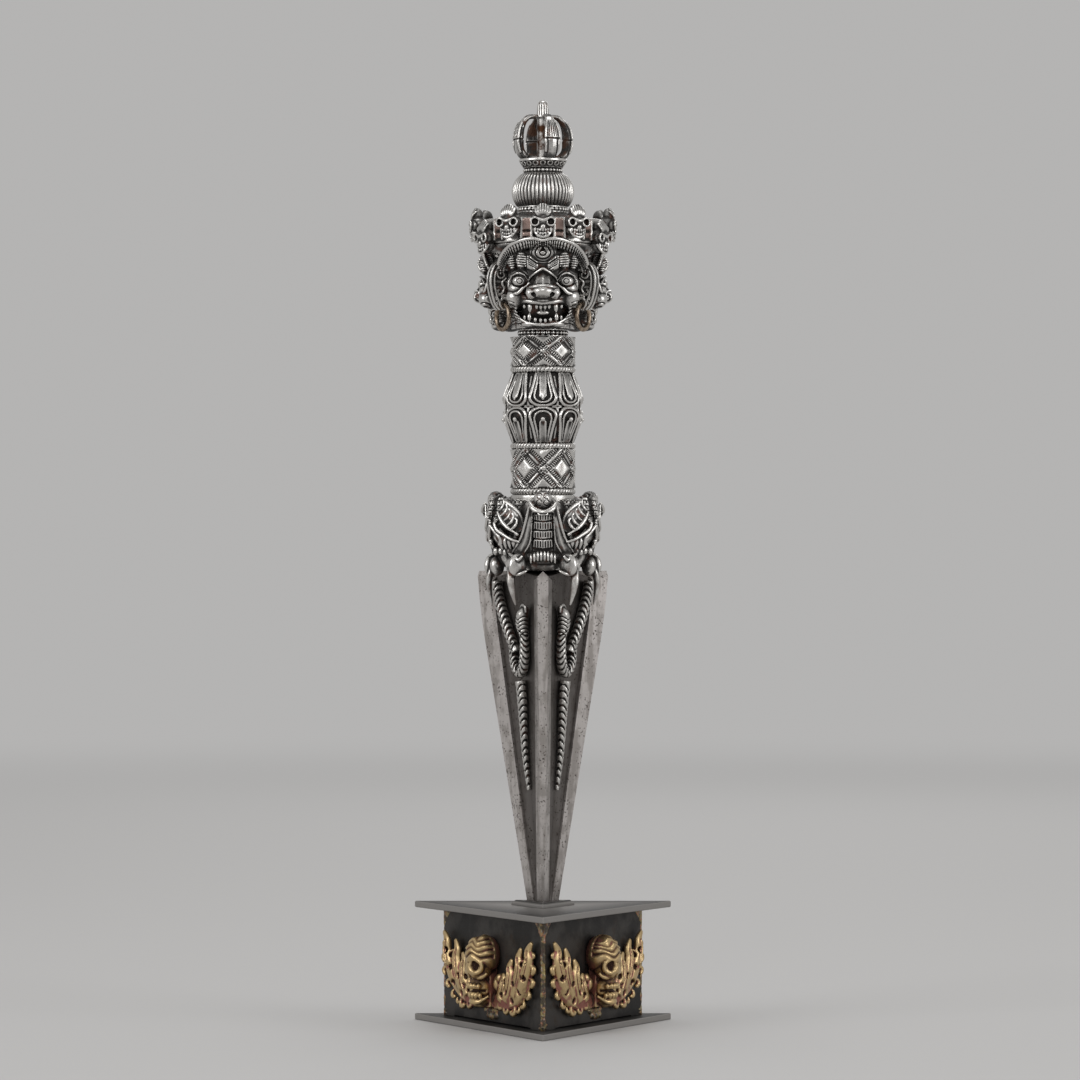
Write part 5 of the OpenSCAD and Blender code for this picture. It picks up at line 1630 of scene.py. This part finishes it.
bulb.points[:, :2] *= (1 - cut / np.maximum(reach, 1))[:, None]
bulb.write()
silver_piece("fluted_bulb", bulb)

# %% Collar of the vajra
low, high = heights("vajra_collar")
top_r = low_high("vajra_collar")[1].x
wax = bmesh.new()
sleeve(wax, low, low + 0.6, 6.9, 6.9)
sleeve(wax, low + 0.6, high - 0.9, 6.6, top_r - 0.7)
sleeve(wax, high - 0.9, high, top_r, top_r - 0.15)
for k in range(18):
    centre = Vector(around(20 * k, (6.9 + top_r - 0.7) / 2 + 0.1, (low + high) / 2 - 0.15))
    out = Vector((centre.x, centre.y, 0)).normalized()
    side = Vector((-out.y, out.x, 0))
    lean = (Vector((0, 0, 1)) + out * 0.6).normalized()
    rim = [tuple(centre + 0.8 * (side * across + lean * up))
           for across, up in (polar(a) for a in range(0, 391, 30))]
    roll(wax, rim, 0.26, up=tuple(out), sides=6, steps=2)
collar = Casting(wax, grain=0.2, soften=1)
collar.trim(low, high)
silver_piece("vajra_collar", collar)


# %% Prongs of the vajra
prong_low, prong_high = heights("vajra_prong_1")
centre_low, centre_high = heights("vajra_centre_prong")


def bow(t, inset=0.0):
    """A point of the prong's outline, which swells low down and closes at the top. The inset sets
    it in towards the axis, and out again where the prong is nearly closed."""
    swell = max(0, 1 - (abs(t - 0.34) / (0.38 if t < 0.34 else 0.66)) ** 2.5) ** 0.4
    return (0, -mix(2.3, 10.2, swell) + inset * min(1, 6 * swell - 1),
            prong_low + (prong_high - prong_low) * t)


def prong(i):
    """One of four, made at the front: a bowed arm, a thicker back above, two edge cords and a root."""
    wax = bmesh.new()
    spots = np.linspace(0.03, 0.93, 17)
    wide = np.interp(spots, [0, 0.08, 0.42, 0.7, 1], [1.9, 2.45, 2.55, 2.1, 1.3])
    top = [(0, -4.2, prong_high - 0.85), (0, -2.4, prong_high - 0.75)]
    roll(wax, [bow(t, 1.45) for t in spots] + top, [*wide, 1.35, 1.3], flat=0.6, up=None, sides=12)
    upper = np.linspace(0.44, 0.94, 10)
    wide = np.interp(upper, [0.44, 0.7, 1], [2.75, 2.3, 1.1])
    roll(wax, [bow(t, 1.3) for t in upper], list(wide), flat=0.58, up=None, sides=12)
    edge = ((2.2, bow(0.12)), (2.4, bow(0.3)), (2.45, bow(0.5)), (2.1, bow(0.68)), (1.6, bow(0.82)))
    both(roll, wax, [(x, p[1] + 0.35, p[2]) for x, p in edge], 0.42)
    sleeve(wax, prong_low, prong_low + 1, 2.2, 2.0)
    roll(wax, [(0, -2.4, prong_low + 0.5), (0, -6.8, prong_low + 0.8)], [1.4, 1.9], flat=0.4, up=(0, 0, 1))
    arm = Casting(wax, grain=0.19, soften=1)
    z = prong_low
    arm.chase([[(-2.7, z + 6.6), (2.7, z + 6.6)]], 0.3, -0.4, where=arm.points[:, 1] < -7)
    arm.chase([[(x, z + 7.3), (x * 0.62, z + 12.8)] for x in (-1.3, -0.45, 0.45, 1.3)], 0.26, -0.22,
              where=arm.points[:, 1] < -3)
    arm.trim(z + 0.02, prong_high)
    share = (arm.points[:, 2] - z) / (prong_high - z)
    spots = np.linspace(0, 1, 21)
    outline = np.interp(share, spots, [-bow(t)[1] for t in spots])
    # Painted shade, partly soot: the inside of each prong, towards the axis, gets a dark brown.
    arm.store("soot", (outline - arm.reach() - 0.9) / 0.5)
    mesh = arm.mark()
    mesh.transform(Matrix.Rotation(math.radians(20 + 90 * i), 4, "Z"))
    name = f"vajra_prong_{i + 1}"
    finish_piece(name, mesh, "phurba", [name], silver)


for i in range(4):
    prong(i)

wax = bmesh.new()
sleeve(wax, centre_low + 0.02, centre_low + 14.6, 2.1, 2.0)
sleeve(wax, centre_low + 14.4, centre_high - 1.6, 2.3, 1.9)
lump(wax, (0, 0, centre_high - 1.7), (1.85, 1.85, 1.7))
stub = Casting(wax, grain=0.2, soften=2)
stub.chase([[(x, centre_low + 15), (x * 0.9, centre_high - 1)] for x in (-1.3, -0.45, 0.45, 1.3)],
           0.25, -0.22)
stub.trim(centre_low, centre_high)
# Painted shade, partly soot: the centre prong gets a dark brown below the tops of the others.
stub.store("soot", (prong_high - 1 - stub.points[:, 2]) / 2)
silver_piece("vajra_centre_prong", stub)


# %% [markdown]
# Floor, light and camera.
#
# The floor is a wide plain disc. Towards its rim its colour turns into the plain light of the world,
# so no horizon shows. Metal has no colour of its own to speak of and only mirrors what stands round
# it, so the lamps are large soft boxes left, right, above and behind, whose long reflections draw the
# forms. A small one over the camera shines back from whatever leans back a little, like the petals'
# strips. The camera stands level and far away, as it does in the photograph.

# %% Floor and world
BACKDROP = (0.46, 0.455, 0.45)
bm = bmesh.new()
bmesh.ops.create_circle(bm, cap_ends=True, segments=96, radius=6)
floor = in_scene("floor", mesh_of(bm, "floor"))
f = Finish("plain_floor", metallic=0.0)
f.shader.inputs["Base Color"].default_value = (0.5, 0.495, 0.49, 1)
f.shader.inputs["Roughness"].default_value = 0.85
far = f.node("ShaderNodeVectorMath", {"operation": "LENGTH"}, {0: f.place})
distance = Value(f, far.outputs["Value"])
glow = f.node("ShaderNodeEmission", None, {"Color": BACKDROP})
fade = f.node("ShaderNodeMixShader", None, {0: distance.step(0.5, 2.6), 1: f.shader.outputs[0],
                                            2: glow.outputs[0]})
f.tree.links.new(fade.outputs[0], f.tree.nodes["Material Output"].inputs["Surface"])
floor.data.materials.append(f.material)

world = bpy.data.worlds.new("studio")
bpy.context.scene.world = world
world.use_nodes = True
world.node_tree.nodes["Background"].inputs["Color"].default_value = (*BACKDROP, 1)


# %% Soft boxes and camera
def soft_box(name, at, size, watts):
    """A square lamp that looks at the middle of the phurba."""
    lamp = bpy.data.lights.new(name, "AREA")
    lamp.size = size
    lamp.energy = watts
    lamp_object = in_scene(name, lamp)
    lamp_object.location = at
    aim = Vector((0, 0, 0.16)) - Vector(at)
    lamp_object.rotation_euler = aim.to_track_quat("-Z", "Y").to_euler()


soft_box("left_box", (-1.3, -0.9, 0.75), 0.8, 7.0)
soft_box("right_box", (1.35, -0.75, 0.6), 0.8, 6.0)
soft_box("top_box", (0.0, 0.15, 1.7), 0.9, 6.5)
soft_box("back_box", (0.2, 1.6, 0.9), 0.8, 4.0)
soft_box("front_box", (-0.12, -1.33, 1.2), 0.5, 2.2)

lens = bpy.data.cameras.new("camera")
lens.sensor_width = 36
lens.lens = 166.6
camera = in_scene("camera", lens)
camera.location = (-0.001, -1.727, 0.1681)
camera.rotation_euler = (math.radians(90), 0, 0)
bpy.context.scene.camera = camera
bpy.context.scene.view_settings.view_transform = "Standard"
